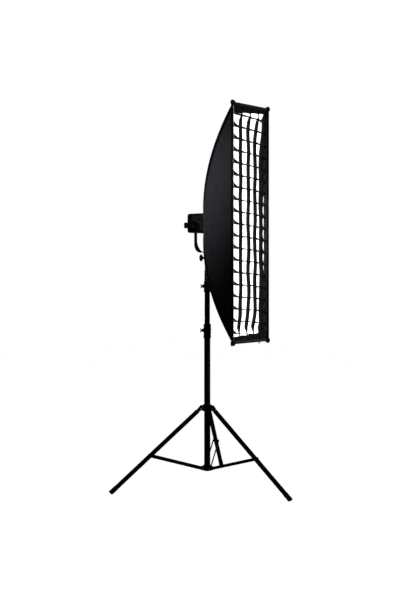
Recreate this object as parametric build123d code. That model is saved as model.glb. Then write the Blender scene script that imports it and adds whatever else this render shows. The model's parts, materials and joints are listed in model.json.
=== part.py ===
from build123d import *
from math import acos, atan2, cos, degrees, hypot, radians, sin, sqrt
import os

# A tall strip softbox with an egg-crate grid, on an LED studio lamp, on a light stand.
# Row frame: +Z up, origin on the floor under the stand's column, the softbox faces -Y.
# Millimetres throughout.

# ---- driving dimensions: the stand ------------------------------------------------
LEG_AZIMUTHS = {"rear": 32.7, "left": 152.7, "right": 272.7}   # degrees from +X
HUB_PIVOT_R, HUB_PIVOT_Z = 47.0, 475.0        # leg pivot: radius from the column, height
HUB_LOW, HUB_HIGH = 459.0, 499.0              # the sliding hub's faces
FOOT_R, FOOT_Z = 607.0, 11.6                  # end of a leg's centre line when open
BRACE_PIVOT_R, BRACE_PIVOT_Z = 35.0, 110.0    # brace pivot on the fixed bottom collar
BRACE_ON_LEG = 0.571                          # where the brace meets the leg, of its length
COLLAR_LOW, COLLAR_HIGH = 96.0, 127.0         # the brace collar's faces
TUBE_R = {"lower": 19.0, "mid": 16.5, "upper": 14.0}
TUBE_WALL = 1.5
LOWER_TUBE_Z = (104.0, 985.0)
MID_TUBE_Z = (300.0, 1250.0)
UPPER_TUBE_Z = (480.0, 1290.0)
LOWER_LOCK_Z = (905.0, 994.0)
UPPER_LOCK_Z = (1190.0, 1258.0)
SLEEVE_Z = (1259.0, 1326.0)                   # sleeve at the top of the upper tube
SPIGOT_TOP = 1418.0
SPIGOT_R = 8.0                                # the usual 16 mm stand spigot
LEG_TUBE_R, LEG_WALL = 13.75, 1.4
FOOT_CAP_R = 14.8
GAP = 0.3                                     # between curved faces of different bodies
RUN = 0.05                                    # radial clearance of a pin in its hole

# ---- driving dimensions: the head -------------------------------------------------
YOKE_Y, YOKE_WIDTH, YOKE_THICK = 11.0, 20.0, 5.0   # an arm: middle, width, thickness
YOKE_BASE_Y = (-10.0, 21.0)                   # the base is wider than the arms
YOKE_HALF = 93.5                              # arm's mid plane
YOKE_LOW = 1432.5                             # underside of the yoke's bottom bar
YOKE_BEND = 50.0                              # outside radius of the bends
TILT_Z = 1611.0                               # tilt axis height
LAMP_HALF = 78.0
LAMP_Z = (1554.0, 1672.0)
LAMP_FRONT, LAMP_SPLIT, LAMP_REAR = -28.0, 55.0, 98.0
LAMP_WALL = 3.0
LOCK_KNOB_Z, LOCK_KNOB_TURN = 1400.0, 60.0    # star knob: height, and turn from +Y
PORT_R = 46.0                                 # light port in the lamp's front
UMBRELLA_X, UMBRELLA_R = 28.0, 4.1            # bore for an 8 mm umbrella shaft

# ---- driving dimensions: the softbox ----------------------------------------------
AXIS_Z = 1599.0                               # the softbox's axis, along Y
BOX_HALF_W, BOX_HALF_H = 165.0, 700.0         # front frame
BOX_BACK_Y, BOX_FRONT_Y = -32.0, -346.8       # apex of the curved back, front edge
RING_S = 0.11                                 # where the panels start, of the half height
RING_HALF_W = 76.0                            # half width of the opening at the ring
PANEL = 2.0                                   # thickness that stands for the fabric
CELL = 70.0                                   # grid cell
GRID_ROWS, GRID_COLUMNS = 18, 4
GRID_HALF_W = 145.0
GRID_Y = (-337.0, -312.0)
DIFFUSER_Y, BAFFLE_Y = -298.0, -190.0
RING_R, RING_BORE_R = 71.0, 48.0              # speed ring
RING_Y = (LAMP_FRONT - 24.0, LAMP_FRONT - 10.4)
SOCKET_AT = (47.0, LAMP_FRONT - 30.0, 52.0)   # rod's inner end, from the box's axis
ROD_R = 3.0

# ---- derived ----------------------------------------------------------------------
LEG_LENGTH = hypot(FOOT_R - HUB_PIVOT_R, HUB_PIVOT_Z - FOOT_Z)
LEG_ANGLE = degrees(atan2(FOOT_R - HUB_PIVOT_R, HUB_PIVOT_Z - FOOT_Z))   # from vertical
BRACE_POINT = BRACE_ON_LEG * LEG_LENGTH
BRACE_END_R = HUB_PIVOT_R + BRACE_POINT * sin(radians(LEG_ANGLE))
BRACE_END_Z = HUB_PIVOT_Z - BRACE_POINT * cos(radians(LEG_ANGLE))
BRACE_LENGTH = hypot(BRACE_END_R - BRACE_PIVOT_R, BRACE_END_Z - BRACE_PIVOT_Z)
BRACE_ANGLE = degrees(atan2(BRACE_END_Z - BRACE_PIVOT_Z, BRACE_END_R - BRACE_PIVOT_R))
BRACE_FOLDED = degrees(acos((HUB_PIVOT_R - BRACE_PIVOT_R) / BRACE_LENGTH))
HUB_TRAVEL = (BRACE_PIVOT_Z + BRACE_LENGTH * sin(radians(BRACE_FOLDED))
              + BRACE_POINT - HUB_PIVOT_Z)
BOX_DEPTH = BOX_BACK_Y - BOX_FRONT_Y
BOTTOM = (Align.CENTER, Align.CENTER, Align.MIN)


# ---- small helpers ----------------------------------------------------------------
def rod(radius, start, end):
    """A solid cylinder between two points."""
    start, end = Vector(*start), Vector(*end)
    run = end - start
    return Plane(origin=start, z_dir=run) * Cylinder(radius, run.length, align=BOTTOM)


def pipe(outer, inner, start, end):
    """A hollow cylinder between two points."""
    return rod(outer, start, end) - rod(inner, start, end)


def across(radius, half, x, z):
    """A solid cylinder along Y, centred on the column's plane."""
    return rod(radius, (x, -half, z), (x, half, z))


def upright(outer, inner, low, high):
    """A hollow cylinder on the column's axis."""
    return pipe(outer, inner, (0, 0, low), (0, 0, high))


def block(x, y, z):
    """A box from its low and high value on each axis."""
    size = [high - low for low, high in (x, y, z)]
    middle = [(high + low) / 2 for low, high in (x, y, z)]
    return Pos(*middle) * Box(*size)


def facing_front(y, z):
    """Plane at a depth and height that looks along -Y, with +X to the right."""
    return Plane(origin=(0, y, z), x_dir=(1, 0, 0), z_dir=(0, -1, 0))


def solid(shape):
    """The one solid of a shape, or all of them as a compound."""
    solids = shape.solids()
    return solids[0] if len(solids) == 1 else Compound(children=list(solids))


def group(shapes):
    """Separate solids kept in one node."""
    return Compound(children=[piece for shape in shapes for piece in shape.solids()])


def save(name, shape):
    export_step(solid(shape), f"parts/{name}.step")


# ---- the stand's column -----------------------------------------------------------
def lower_tube():
    r = TUBE_R["lower"]
    return upright(r, r - TUBE_WALL, *LOWER_TUBE_Z)


def column_end_plug():
    """Plastic plug that closes the column's lower end."""
    r = TUBE_R["lower"]
    low, high = LOWER_TUBE_Z
    plug = rod(r - TUBE_WALL - RUN, (0, 0, low), (0, 0, low + 14))
    disc = rod(r - RUN, (0, 0, COLLAR_LOW - 4), (0, 0, low))
    return plug + fillet(disc.edges().group_by(Axis.Z)[0], 2.5)


LUG_HALF = 15.9                               # half width of a collar lug, between the bars
BAR_IN, BAR_THICK, BAR_HALF = 16.2, 3.0, 9.0  # brace bar: inner face, thickness, half height
BRACE_PIN_R = 3.0


def brace_collar():
    """Fixed bottom collar with three lugs, one between each pair of brace bars."""
    ring = upright(25, TUBE_R["lower"], COLLAR_LOW, COLLAR_HIGH)
    ring = chamfer(ring.edges().filter_by(GeomType.CIRCLE).group_by(SortBy.RADIUS)[-1], 1.2)
    for azimuth in LEG_AZIMUTHS.values():
        lug = block((21, BRACE_PIVOT_R), (-LUG_HALF, LUG_HALF), (98, 122))
        lug += across(9, LUG_HALF, BRACE_PIVOT_R, BRACE_PIVOT_Z)
        lug -= rod(25, (0, 0, 90), (0, 0, 130))
        lug -= across(BRACE_PIN_R, LUG_HALF + 10, BRACE_PIVOT_R, BRACE_PIVOT_Z)
        ring += Rot(0, 0, azimuth) * lug
    return ring


def pin_with_heads(radius, half_shank, head_radius, head, at):
    """A rivet along Y through a point, with a low domed head at each end."""
    x, y, z = at
    pin = rod(radius, (x, y - half_shank, z), (x, y + half_shank, z))
    for side in (-1, 1):
        inner = y + side * half_shank
        cap = rod(head_radius, (x, inner, z), (x, inner + side * head, z))
        rim = cap.edges().filter_by(GeomType.CIRCLE).sort_by(Axis.Y)[-1 if side > 0 else 0]
        pin += fillet(rim, head * 0.6)
    return pin


def brace_pins():
    half = BAR_IN + BAR_THICK + GAP
    pin = pin_with_heads(BRACE_PIN_R, half, 5.5, 2.6, (BRACE_PIVOT_R, 0, BRACE_PIVOT_Z))
    return group(Rot(0, 0, azimuth) * pin for azimuth in LEG_AZIMUTHS.values())


def lock_collar(low, high, radius, clamp_radius, next_radius, seat, boss_azimuth, boss_z):
    """Clamp collar on a tube's top, with a boss for its wing screw.

    It grips clamp_radius up to height seat, and above that clears next_radius."""
    collar = upright(radius, clamp_radius, low, seat)
    collar += upright(radius, next_radius + GAP, seat, high)
    ends = collar.edges().filter_by(GeomType.CIRCLE).group_by(SortBy.RADIUS)[-1]
    collar = fillet(ends, 2.0)
    for height in (low + 12, high - 12):                      # moulded rings
        collar += upright(radius + 1.2, radius - 1, height - 2.5, height + 2.5)
    boss = block((radius - 6, radius + 7), (-9, 9), (boss_z - 11, boss_z + 11))
    boss = fillet(boss.edges().filter_by(Axis.X), 4)
    boss -= rod(clamp_radius + 1.5, (0, 0, low - 5), (0, 0, high + 5))
    boss -= rod(3.4, (radius, 0, boss_z), (radius + 10, 0, boss_z))
    slot = block((0, radius + 9), (-0.8, 0.8), (boss_z - 18, boss_z + 18))
    slot -= rod(clamp_radius + 1.2, (0, 0, low - 5), (0, 0, high + 5))
    return collar + Rot(0, 0, boss_azimuth) * boss - Rot(0, 0, boss_azimuth + 180) * slot


def wing_knob(azimuth, start, z, roll, span=14.0):
    """Wing screw on a radial axis: a shank, a hub and two swept wings."""
    knob = rod(3.0, (start - 5, 0, z), (start + 4, 0, z))
    knob += rod(7.0, (start + GAP, 0, z), (start + 9, 0, z))
    wing = Polyline((start + 3, 3), (start + 10, span), (start + 15, span + 1),
                    (start + 11, 3), (start + 9, 0), (start + 3, 0), close=True)
    plate = extrude(Plane.XY * make_face(wing), 1.8, both=True)
    plate = fillet(plate.edges().filter_by(Axis.Z).group_by(Axis.Y)[-1], 1.6)
    wings = plate + mirror(plate, Plane.XZ)
    knob += Pos(0, 0, z) * Rot(roll, 0, 0) * wings
    return Rot(0, 0, azimuth) * knob


LOWER_KNOB = dict(azimuth=138.0, start=TUBE_R["lower"] + 11.0, z=955.0, roll=60.0)
UPPER_KNOB = dict(azimuth=138.0, start=TUBE_R["mid"] + 11.5, z=1226.0, roll=60.0)
HUB_KNOB = dict(azimuth=92.7, start=30.0, z=480.0, roll=0.0)


def mid_tube():
    r = TUBE_R["mid"]
    low, high = MID_TUBE_Z
    tube = upright(r, r - TUBE_WALL + 0.2, low, high)
    bush = upright(TUBE_R["lower"] - TUBE_WALL - GAP, r - 0.5, low, low + 40)
    return tube + bush


def upper_tube():
    r = TUBE_R["upper"]
    low, high = UPPER_TUBE_Z
    tube = upright(r, r - TUBE_WALL + 0.3, low, high)
    bush = upright(TUBE_R["mid"] - TUBE_WALL + 0.2 - GAP, r - 0.5, low, low + 40)
    return tube + bush


def top_spigot():
    """Sleeve on the upper tube with the turned stud that the lamp drops onto."""
    low, high = SLEEVE_Z
    sleeve = rod(17.5, (0, 0, low), (0, 0, high))
    sleeve = fillet(sleeve.edges().filter_by(GeomType.CIRCLE), 2.0)
    sleeve -= rod(TUBE_R["upper"], (0, 0, low - 1), (0, 0, UPPER_TUBE_Z[1]))
    sleeve += rod(SPIGOT_R, (0, 0, high - 1), (0, 0, SPIGOT_TOP - 14))
    sleeve += rod(SPIGOT_R - 1.5, (0, 0, SPIGOT_TOP - 14), (0, 0, SPIGOT_TOP - 9))
    top = rod(SPIGOT_R, (0, 0, SPIGOT_TOP - 9), (0, 0, SPIGOT_TOP))
    return sleeve + chamfer(top.edges().group_by(Axis.Z)[-1], 1.2)


# ---- the stand's legs -------------------------------------------------------------
EAR_IN, EAR_OUT = 10.4, 16.4                  # hub ear: inner and outer face
LEG_PIN_R = 3.5
TUBE_START, TUBE_END, CAP_END = 26.0, 702.0, 738.0   # along the leg from its pivot


def leg_hub():
    """Sliding hub with three pairs of ears that hold the legs."""
    hub = upright(27, TUBE_R["lower"] + GAP, HUB_LOW, HUB_HIGH)
    hub = fillet(hub.edges().filter_by(GeomType.CIRCLE).group_by(SortBy.RADIUS)[-1], 2)
    for azimuth in LEG_AZIMUTHS.values():
        for side in (-1, 1):
            y = sorted((side * EAR_IN, side * EAR_OUT))
            ear = block((20, HUB_PIVOT_R), y, (HUB_LOW + 6, HUB_HIGH - 4))
            ear += rod(8, (HUB_PIVOT_R, y[0], HUB_PIVOT_Z), (HUB_PIVOT_R, y[1], HUB_PIVOT_Z))
            slope = Polyline((HUB_PIVOT_R + 20, HUB_HIGH), (34, HUB_HIGH),
                             (HUB_PIVOT_R + 8, HUB_PIVOT_Z + 3), (HUB_PIVOT_R + 20, HUB_PIVOT_Z),
                             close=True)
            ear -= Pos(0, sum(y) / 2, 0) * extrude(Plane.XZ * make_face(slope), 8, both=True)
            ear -= across(LEG_PIN_R, EAR_OUT + 10, HUB_PIVOT_R, HUB_PIVOT_Z)
            ear -= rod(26, (0, 0, HUB_LOW - 9), (0, 0, HUB_HIGH + 9))
            hub += Rot(0, 0, azimuth) * ear
    knob = HUB_KNOB
    boss = rod(9, (22, 0, knob["z"]), (knob["start"], 0, knob["z"]))
    boss -= rod(3.4, (22, 0, knob["z"]), (knob["start"] + 1, 0, knob["z"]))
    boss -= rod(24, (0, 0, HUB_LOW - 9), (0, 0, HUB_HIGH + 9))
    screw_hole = rod(3.4, (22, 0, knob["z"]), (32, 0, knob["z"]))
    return hub + Rot(0, 0, knob["azimuth"]) * boss - Rot(0, 0, knob["azimuth"]) * screw_hole


def leg_pins():
    pin = pin_with_heads(LEG_PIN_R, EAR_OUT, 5.8, 2.4, (HUB_PIVOT_R, 0, HUB_PIVOT_Z))
    return group(Rot(0, 0, azimuth) * pin for azimuth in LEG_AZIMUTHS.values())


def place_leg(shape, azimuth):
    """From a leg hanging straight down from the origin to its open place."""
    opened = Rot(0, -LEG_ANGLE, 0) * shape
    return Rot(0, 0, azimuth) * Pos(HUB_PIVOT_R, 0, HUB_PIVOT_Z) * opened


def leg_fitting(azimuth):
    """Cast top end: a tongue between the hub's ears and a plug in the tube."""
    tongue = block((-8, 8), (-10, 10), (-TUBE_START, 0)) + rod(8, (0, -10, 0), (0, 10, 0))
    tongue -= rod(LEG_PIN_R + RUN, (0, -12, 0), (0, 12, 0))
    neck = rod(LEG_TUBE_R, (0, 0, -TUBE_START), (0, 0, -TUBE_START + 6))
    plug = rod(LEG_TUBE_R - LEG_WALL, (0, 0, -TUBE_START - 28), (0, 0, -TUBE_START))
    return place_leg(tongue + neck + plug, azimuth)


def leg_tube(azimuth):
    tube = pipe(LEG_TUBE_R, LEG_TUBE_R - LEG_WALL, (0, 0, -TUBE_START), (0, 0, -TUBE_END))
    return place_leg(tube, azimuth)


def leg_foot(azimuth):
    """Rubber end cap, its sole cut level with the floor."""
    cap = rod(FOOT_CAP_R, (0, 0, -TUBE_END + 14), (0, 0, -CAP_END))
    cap = fillet(cap.edges().group_by(Axis.Z)[-1], 1.0)
    cap -= rod(LEG_TUBE_R, (0, 0, -TUBE_END + 16), (0, 0, -TUBE_END))
    cap = place_leg(cap, azimuth)
    return cap - block((-900, 900), (-900, 900), (-60, 0))


def place_brace(shape, azimuth):
    """From a brace lying along +X from the origin to its open place."""
    raised = Rot(0, -BRACE_ANGLE, 0) * shape
    return Rot(0, 0, azimuth) * Pos(BRACE_PIVOT_R, 0, BRACE_PIVOT_Z) * raised


def brace(azimuth):
    """Two flat bars, one on each side of the leg, with their outer rivets and spacers.

    The rivets stop short of the leg, whose own pin is left out."""
    pieces = []
    for side in (-1, 1):
        inner, outer = side * BAR_IN, side * (BAR_IN + BAR_THICK)
        bar = block((0, BRACE_LENGTH), sorted((inner, outer)), (-BAR_HALF, BAR_HALF))
        for x in (0, BRACE_LENGTH):
            bar += rod(BAR_HALF, (x, inner, 0), (x, outer, 0))
            bar -= rod(BRACE_PIN_R + (RUN if x == 0 else 0), (x, inner, 0), (x, outer, 0))
        rivet = rod(BRACE_PIN_R, (BRACE_LENGTH, inner, 0), (BRACE_LENGTH, outer, 0))
        rivet += rod(6.0, (BRACE_LENGTH, side * (LEG_TUBE_R + 0.5), 0), (BRACE_LENGTH, inner, 0))
        rivet += rod(5.5, (BRACE_LENGTH, outer, 0), (BRACE_LENGTH, outer + side * 2.2, 0))
        pieces += [place_brace(bar, azimuth), place_brace(rivet, azimuth)]
    return group(pieces)


# ---- the head: receiver, yoke and knobs -------------------------------------------
def stand_receiver():
    """Socket over the spigot, with a side boss bored for an umbrella shaft."""
    low, high = SLEEVE_Z[1] + 2, YOKE_LOW
    body = rod(15.5, (0, 0, low), (0, 0, high))
    clamp = block((-13, 13), (-14, 16), (LOCK_KNOB_Z - 16, LOCK_KNOB_Z + 16))
    body += Rot(0, 0, LOCK_KNOB_TURN) * clamp
    body += rod(8.5, (UMBRELLA_X, -15, LOCK_KNOB_Z), (UMBRELLA_X, 19, LOCK_KNOB_Z))
    body += block((0, UMBRELLA_X), (-13, 17), (LOCK_KNOB_Z - 6, LOCK_KNOB_Z + 6))
    body -= rod(SPIGOT_R + RUN, (0, 0, low - 1), (0, 0, SPIGOT_TOP + 2))
    body -= rod(UMBRELLA_R, (UMBRELLA_X, -30, LOCK_KNOB_Z), (UMBRELLA_X, 30, LOCK_KNOB_Z))
    screw_hole = rod(3.5, (0, 5, LOCK_KNOB_Z), (0, 30, LOCK_KNOB_Z))
    return body - Rot(0, 0, LOCK_KNOB_TURN) * screw_hole


def receiver_knob():
    """Six-lobed star knob, its screw bearing on the spigot."""
    z = LOCK_KNOB_Z
    knob = rod(3.2, (0, SPIGOT_R + 1, z), (0, 34, z)) + rod(7, (0, 17, z), (0, 33, z))
    knob += rod(15, (0, 33, z), (0, 46, z))
    for step in range(6):
        angle = radians(60 * step + 30)
        x, lobe_z = 14.5 * cos(angle), z + 14.5 * sin(angle)
        knob += rod(6, (x, 34, lobe_z), (x, 45, lobe_z))
    return Rot(0, 0, LOCK_KNOB_TURN) * knob


def yoke():
    """U-shaped bar: two arms up to the tilt pivots, and a wider base on the receiver."""
    outer, inner = YOKE_HALF + YOKE_THICK / 2, YOKE_HALF - YOKE_THICK / 2
    front, back = YOKE_BASE_Y
    arm_front = YOKE_Y - YOKE_WIDTH / 2
    top = TILT_Z + YOKE_WIDTH / 2
    shell = RectangleRounded(2 * outer, 2 * (top - YOKE_LOW), YOKE_BEND)
    core = RectangleRounded(2 * inner, 2 * (top - YOKE_LOW - YOKE_THICK), YOKE_BEND - YOKE_THICK)
    bar = extrude(facing_front(back, top) * (shell - core), back - front)
    bar -= block((-200, 200), (-100, 100), (top, top + 400))
    outline = Polyline((front, YOKE_LOW), (back, YOKE_LOW), (back, TILT_Z), (arm_front, TILT_Z),
                       (arm_front, YOKE_LOW + 65), (front, YOKE_LOW + 25), close=True)
    side = extrude(Plane.YZ * make_face(outline), outer, both=True)
    side += rod(YOKE_WIDTH / 2, (-outer, YOKE_Y, TILT_Z), (outer, YOKE_Y, TILT_Z))
    bar = bar & side
    bar -= rod(5 + RUN, (-outer - 5, YOKE_Y, TILT_Z), (outer + 5, YOKE_Y, TILT_Z))
    return bar - rod(4.5, (0, 0, YOKE_LOW - 5), (0, 0, YOKE_LOW + 20))


def yoke_bolt():
    """Cap screw that fastens the yoke's base to the receiver, with a hexagon socket."""
    head = rod(8, (0, 0, YOKE_LOW + YOKE_THICK), (0, 0, YOKE_LOW + YOKE_THICK + 4))
    socket = extrude(Plane.XY.offset(YOKE_LOW + YOKE_THICK + 1.5) * RegularPolygon(3.2, 6), 5)
    return head + rod(4.5, (0, 0, YOKE_LOW), (0, 0, YOKE_LOW + YOKE_THICK)) - socket


def tilt_pivots():
    """Pivot bolts with friction washers between the lamp and the yoke's arms."""
    bolts = []
    inner, outer = YOKE_HALF - YOKE_THICK / 2, YOKE_HALF + YOKE_THICK / 2
    for side in (-1, 1):
        bolt = rod(5, (side * LAMP_HALF, YOKE_Y, TILT_Z), (side * (outer + 2), YOKE_Y, TILT_Z))
        bolt += rod(12, (side * LAMP_HALF, YOKE_Y, TILT_Z), (side * (inner - GAP), YOKE_Y, TILT_Z))
        bolts.append(bolt)
    start = outer + GAP
    bolts[1] += rod(11, (start, YOKE_Y, TILT_Z), (start + 6, YOKE_Y, TILT_Z))
    return group(bolts)


LEVER_X = -(YOKE_HALF + YOKE_THICK / 2 + GAP)
GRIP = ((-115, -99), (64, 90), (1581, 1616))


def tilt_lever():
    """Clamp lever on the left arm: hub, tapered arm and a blocky grip towards the rear."""
    hub = rod(11, (LEVER_X, YOKE_Y, TILT_Z), (LEVER_X - 13, YOKE_Y, TILT_Z))
    hub -= rod(5 + GAP, (LEVER_X + 1, YOKE_Y, TILT_Z), (LEVER_X - 3.5, YOKE_Y, TILT_Z))
    grip_start = GRIP[1][0] + 4
    arm = Polyline((YOKE_Y, TILT_Z + 8), (YOKE_Y, TILT_Z - 8), (grip_start, TILT_Z - 24),
                   (grip_start, TILT_Z - 4), close=True)
    plate = extrude(Plane.YZ.offset(LEVER_X - 13) * make_face(arm), 6)
    return hub + plate + fillet(block(*GRIP).edges(), 4)


# ---- the lamp ---------------------------------------------------------------------
LAMP_MID_Z = sum(LAMP_Z) / 2
DISPLAY = ((-60, -10), (1630, 1658))
DIAL_AT = (-35, 1606)
BUTTONS = {"mode_button": (-58, 1580), "set_button": (-12, 1580)}
BUTTON_R, BUTTON_TRAVEL = 5.5, 1.5
INLET = ((6, 34), (1560, 1580))
SWITCH = ((44, 64), (1562, 1576))
FAN_AT, FAN_R = (37, 1629), 24


def lamp_block(inset, y, corner=16.0):
    """A rounded slab of the lamp's section between two depths."""
    half, (low, high) = LAMP_HALF - inset, LAMP_Z
    height = high - low - 2 * inset
    section = facing_front(y[1], LAMP_MID_Z) * RectangleRounded(2 * half, height, corner)
    return extrude(section, y[1] - y[0])


LATCH_Y = LAMP_FRONT + 6


def lamp_housing():
    """Front shell: a rounded cast section with a round light port, slots and grooves."""
    shell = lamp_block(0, (LAMP_FRONT, LAMP_SPLIT))
    shell = chamfer(shell.faces().sort_by(Axis.Y)[0].edges(), 3)
    shell -= lamp_block(LAMP_WALL, (LAMP_FRONT + 4, LAMP_SPLIT + 1), 13)
    shell -= rod(PORT_R, (0, LAMP_FRONT - 1, AXIS_Z), (0, LAMP_FRONT + 8, AXIS_Z))
    for x in (-52, -26, 0, 26, 52):                           # cooling slots, underneath
        for y in (-8, 4, 16, 28):
            shell -= block((x - 9, x + 9), (y, y + 4), (LAMP_Z[0] - 5, LAMP_Z[0] + 8))
    for side in (-1, 1):
        x = sorted((side * (LAMP_HALF - 1.2), side * (LAMP_HALF + 5)))
        shell -= block(x, (LAMP_FRONT + 6, LAMP_SPLIT + 1), (1650, 1653))      # under the top edge
        shell -= block(x, (LAMP_SPLIT - 4, LAMP_SPLIT - 2), (1572, 1645))
        rail = sorted((side * 11.3, side * 13.5))             # guides of the release latch
        shell += block(rail, (LATCH_Y - 2, LATCH_Y + 32), (LAMP_Z[1] - 1, LAMP_Z[1] + 3))
    return shell


def rear_cover():
    """Rear shell with side louvres, fan grille and the control panel."""
    shell = lamp_block(0, (LAMP_SPLIT, LAMP_REAR))
    shell = chamfer(shell.faces().sort_by(Axis.Y)[-1].edges(), 5)
    shell -= lamp_block(LAMP_WALL, (LAMP_SPLIT - 1, LAMP_REAR - 8), 13)
    shell -= lamp_block(10, (LAMP_SPLIT, LAMP_REAR - LAMP_WALL), 8)
    for step in range(9):                                     # louvres through both sides
        z = 1574 + 9.5 * step
        shell -= block((-LAMP_HALF - 5, LAMP_HALF + 5), (LAMP_SPLIT + 10, LAMP_REAR - 13), (z, z + 4))
    for step in range(7):                                     # slots over the fan
        z = FAN_AT[1] - 22.5 + 7 * step
        half = sqrt(FAN_R ** 2 - (z + 1.5 - FAN_AT[1]) ** 2)
        slot_x = (FAN_AT[0] - half, FAN_AT[0] + half)
        shell -= block(slot_x, (LAMP_REAR - 5, LAMP_REAR + 2), (z, z + 3))
    through = (LAMP_REAR - 22, LAMP_REAR + 7)
    shell -= block(DISPLAY[0], (LAMP_REAR - 2, LAMP_REAR + 2), DISPLAY[1])
    shell -= rod(3.5, (DIAL_AT[0], through[0], DIAL_AT[1]), (DIAL_AT[0], through[1], DIAL_AT[1]))
    for x, z in BUTTONS.values():
        shell -= rod(BUTTON_R + GAP, (x, through[0], z), (x, through[1], z))
    shell -= block(INLET[0], through, INLET[1])
    return shell - block(SWITCH[0], through, SWITCH[1])


def display_window():
    (x0, x1), (z0, z1) = DISPLAY
    return block((x0 + 0.2, x1 - 0.2), (LAMP_REAR - 2, LAMP_REAR - 0.4), (z0 + 0.2, z1 - 0.2))


def dimmer_dial():
    """Knurled rotary control on a thin shaft."""
    x, z = DIAL_AT
    dial = rod(13, (x, LAMP_REAR + GAP + 0.3, z), (x, LAMP_REAR + 13, z))
    dial = chamfer(dial.edges().sort_by(Axis.Y)[-1], 1.2)
    for step in range(24):
        angle = radians(15 * step)
        at = (x + 13.2 * cos(angle), z + 13.2 * sin(angle))
        dial -= rod(0.8, (at[0], LAMP_REAR, at[1]), (at[0], LAMP_REAR + 12, at[1]))
    return dial + rod(3.0, (x, LAMP_REAR - 12, z), (x, LAMP_REAR + 2, z))


def push_button(x, z):
    cap = rod(BUTTON_R, (x, LAMP_REAR - 8, z), (x, LAMP_REAR + 2, z))
    cap = fillet(cap.edges().sort_by(Axis.Y)[-1], 0.8)
    return cap + rod(BUTTON_R + 1.2, (x, LAMP_REAR - 8, z), (x, LAMP_REAR - 6, z))


def power_inlet():
    """Three-pin appliance inlet: a rounded socket with its pins."""
    (x0, x1), (z0, z1) = INLET
    body = block((x0, x1), (LAMP_REAR - 20, LAMP_REAR + 1), (z0, z1))
    body -= block((x0 + 2.5, x1 - 2.5), (LAMP_REAR - 14, LAMP_REAR + 2), (z0 + 2.5, z1 - 2.5))
    middle, centre = (x0 + x1) / 2, (z0 + z1) / 2
    for dx, dz in ((-7, -1.5), (0, 2.5), (7, -1.5)):
        x, z = middle + dx, centre + dz
        body += block((x - 1, x + 1), (LAMP_REAR - 15, LAMP_REAR - 7), (z - 2, z + 2))
    return body


def power_switch():
    """Rocker: a shallow V cap on a short upright pivot."""
    x, y, z = sum(SWITCH[0]) / 2, LAMP_REAR - 6, sum(SWITCH[1]) / 2
    half = 8.2
    outline = Polyline((-half, y + 9), (0, y + 5.5), (half, y + 6.2), (half - 2.5, y - 2),
                       (-half + 2.5, y - 2), close=True)
    rocker = Pos(x, 0, z) * extrude(Plane.XY * make_face(outline), 6, both=True)
    return rocker + rod(1.5, (x, y, z - 6.8), (x, y, z + 6.8))


LED_Y = LAMP_FRONT + 8                        # front of the light source's board
SINK_Y = LED_Y + 2


def heat_sink():
    """Finned block behind the light source."""
    low, high = 1560, 1642
    sink = block((-50, 50), (SINK_Y, SINK_Y + 5), (low, high))
    for step in range(15):
        x = -49 + 7 * step
        sink += block((x - 1, x + 1), (SINK_Y + 5, LAMP_SPLIT - 5), (low, high))
    for x in (-44, 44):                                       # posts to the front wall
        for z in (low + 6, high - 6):
            sink += rod(3, (x, LAMP_FRONT + 4, z), (x, SINK_Y, z))
    return sink


def led_module():
    """Light source board with its round emitter."""
    board = block((-24, 24), (LED_Y, SINK_Y), (AXIS_Z - 24, AXIS_Z + 24))
    return board + rod(15, (0, LED_Y - 1.6, AXIS_Z), (0, LED_Y, AXIS_Z))


def protective_glass():
    return rod(PORT_R, (0, LAMP_FRONT + 1, AXIS_Z), (0, LAMP_FRONT + 3, AXIS_Z))


def driver_board():
    """Power supply board with its transformer and capacitors."""
    y = LAMP_SPLIT + 8
    board = block((-66, 66), (y, y + 2), (1562, 1600))
    board += block((-50, -22), (y + 2, y + 18), (1566, 1586))
    board += block((-14, -2), (y + 2, y + 16), (1566, 1578))
    for x in (-50, 50):                                       # feet on the cover's floor
        board += block((x - 4, x + 4), (y, y + 6), (LAMP_Z[0] + LAMP_WALL, 1563))
    return board


def fan_frame():
    """Square fan housing screwed inside the rear cover."""
    x, z = FAN_AT
    rear = LAMP_REAR - LAMP_WALL
    frame = block((x - 27, x + 27), (rear - 16, rear), (z - 27, z + 27))
    frame -= rod(FAN_R, (x, rear - 20, z), (x, rear + 4, z))
    return frame + block((x - 25, x + 25), (rear - 16, rear - 14), (z - 2, z + 2))


FAN_CENTRE = (FAN_AT[0], LAMP_REAR - LAMP_WALL - 7.5, FAN_AT[1])


def fan_rotor():
    """Hub with seven pitched blades."""
    x, y, z = FAN_CENTRE
    rotor = rod(9, (x, y - 5.5, z), (x, y + 5, z))
    for step in range(7):
        blade = Pos(15, 0, 0) * Rot(32, 0, 0) * Box(15, 1.6, 13)
        rotor += Pos(x, y, z) * Rot(0, 360 / 7 * step, 0) * blade
    return rotor & rod(FAN_R - 1, (x, y - 6, z), (x, y + 6, z))


def bayonet_ring():
    """Three-lug accessory mount on the front of the lamp."""
    ring = pipe(70, 54, (0, LAMP_FRONT - 10, AXIS_Z), (0, LAMP_FRONT, AXIS_Z))
    ring = chamfer(ring.edges().filter_by(GeomType.CIRCLE).group_by(SortBy.RADIUS)[-1], 1.0)
    return ring


def release_latch():
    """Sliding catch on top of the lamp that frees the accessory."""
    top = LAMP_Z[1] + 0.3
    tab = block((-11, 11), (LATCH_Y, LATCH_Y + 22), (top, top + 3.5))
    tab += block((-9, 9), (LATCH_Y, LATCH_Y + 6), (top, top + 8))
    for y in (LATCH_Y + 10, LATCH_Y + 13.5, LATCH_Y + 17):    # finger ribs
        tab += block((-8, 8), (y, y + 1.5), (top, top + 4.6))
    return tab


# ---- the softbox ------------------------------------------------------------------
def half_width(s):
    """Half width of the box where its half height is s of the front's."""
    return RING_HALF_W + (BOX_HALF_W - RING_HALF_W) * (s - RING_S) / (1 - RING_S)


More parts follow.
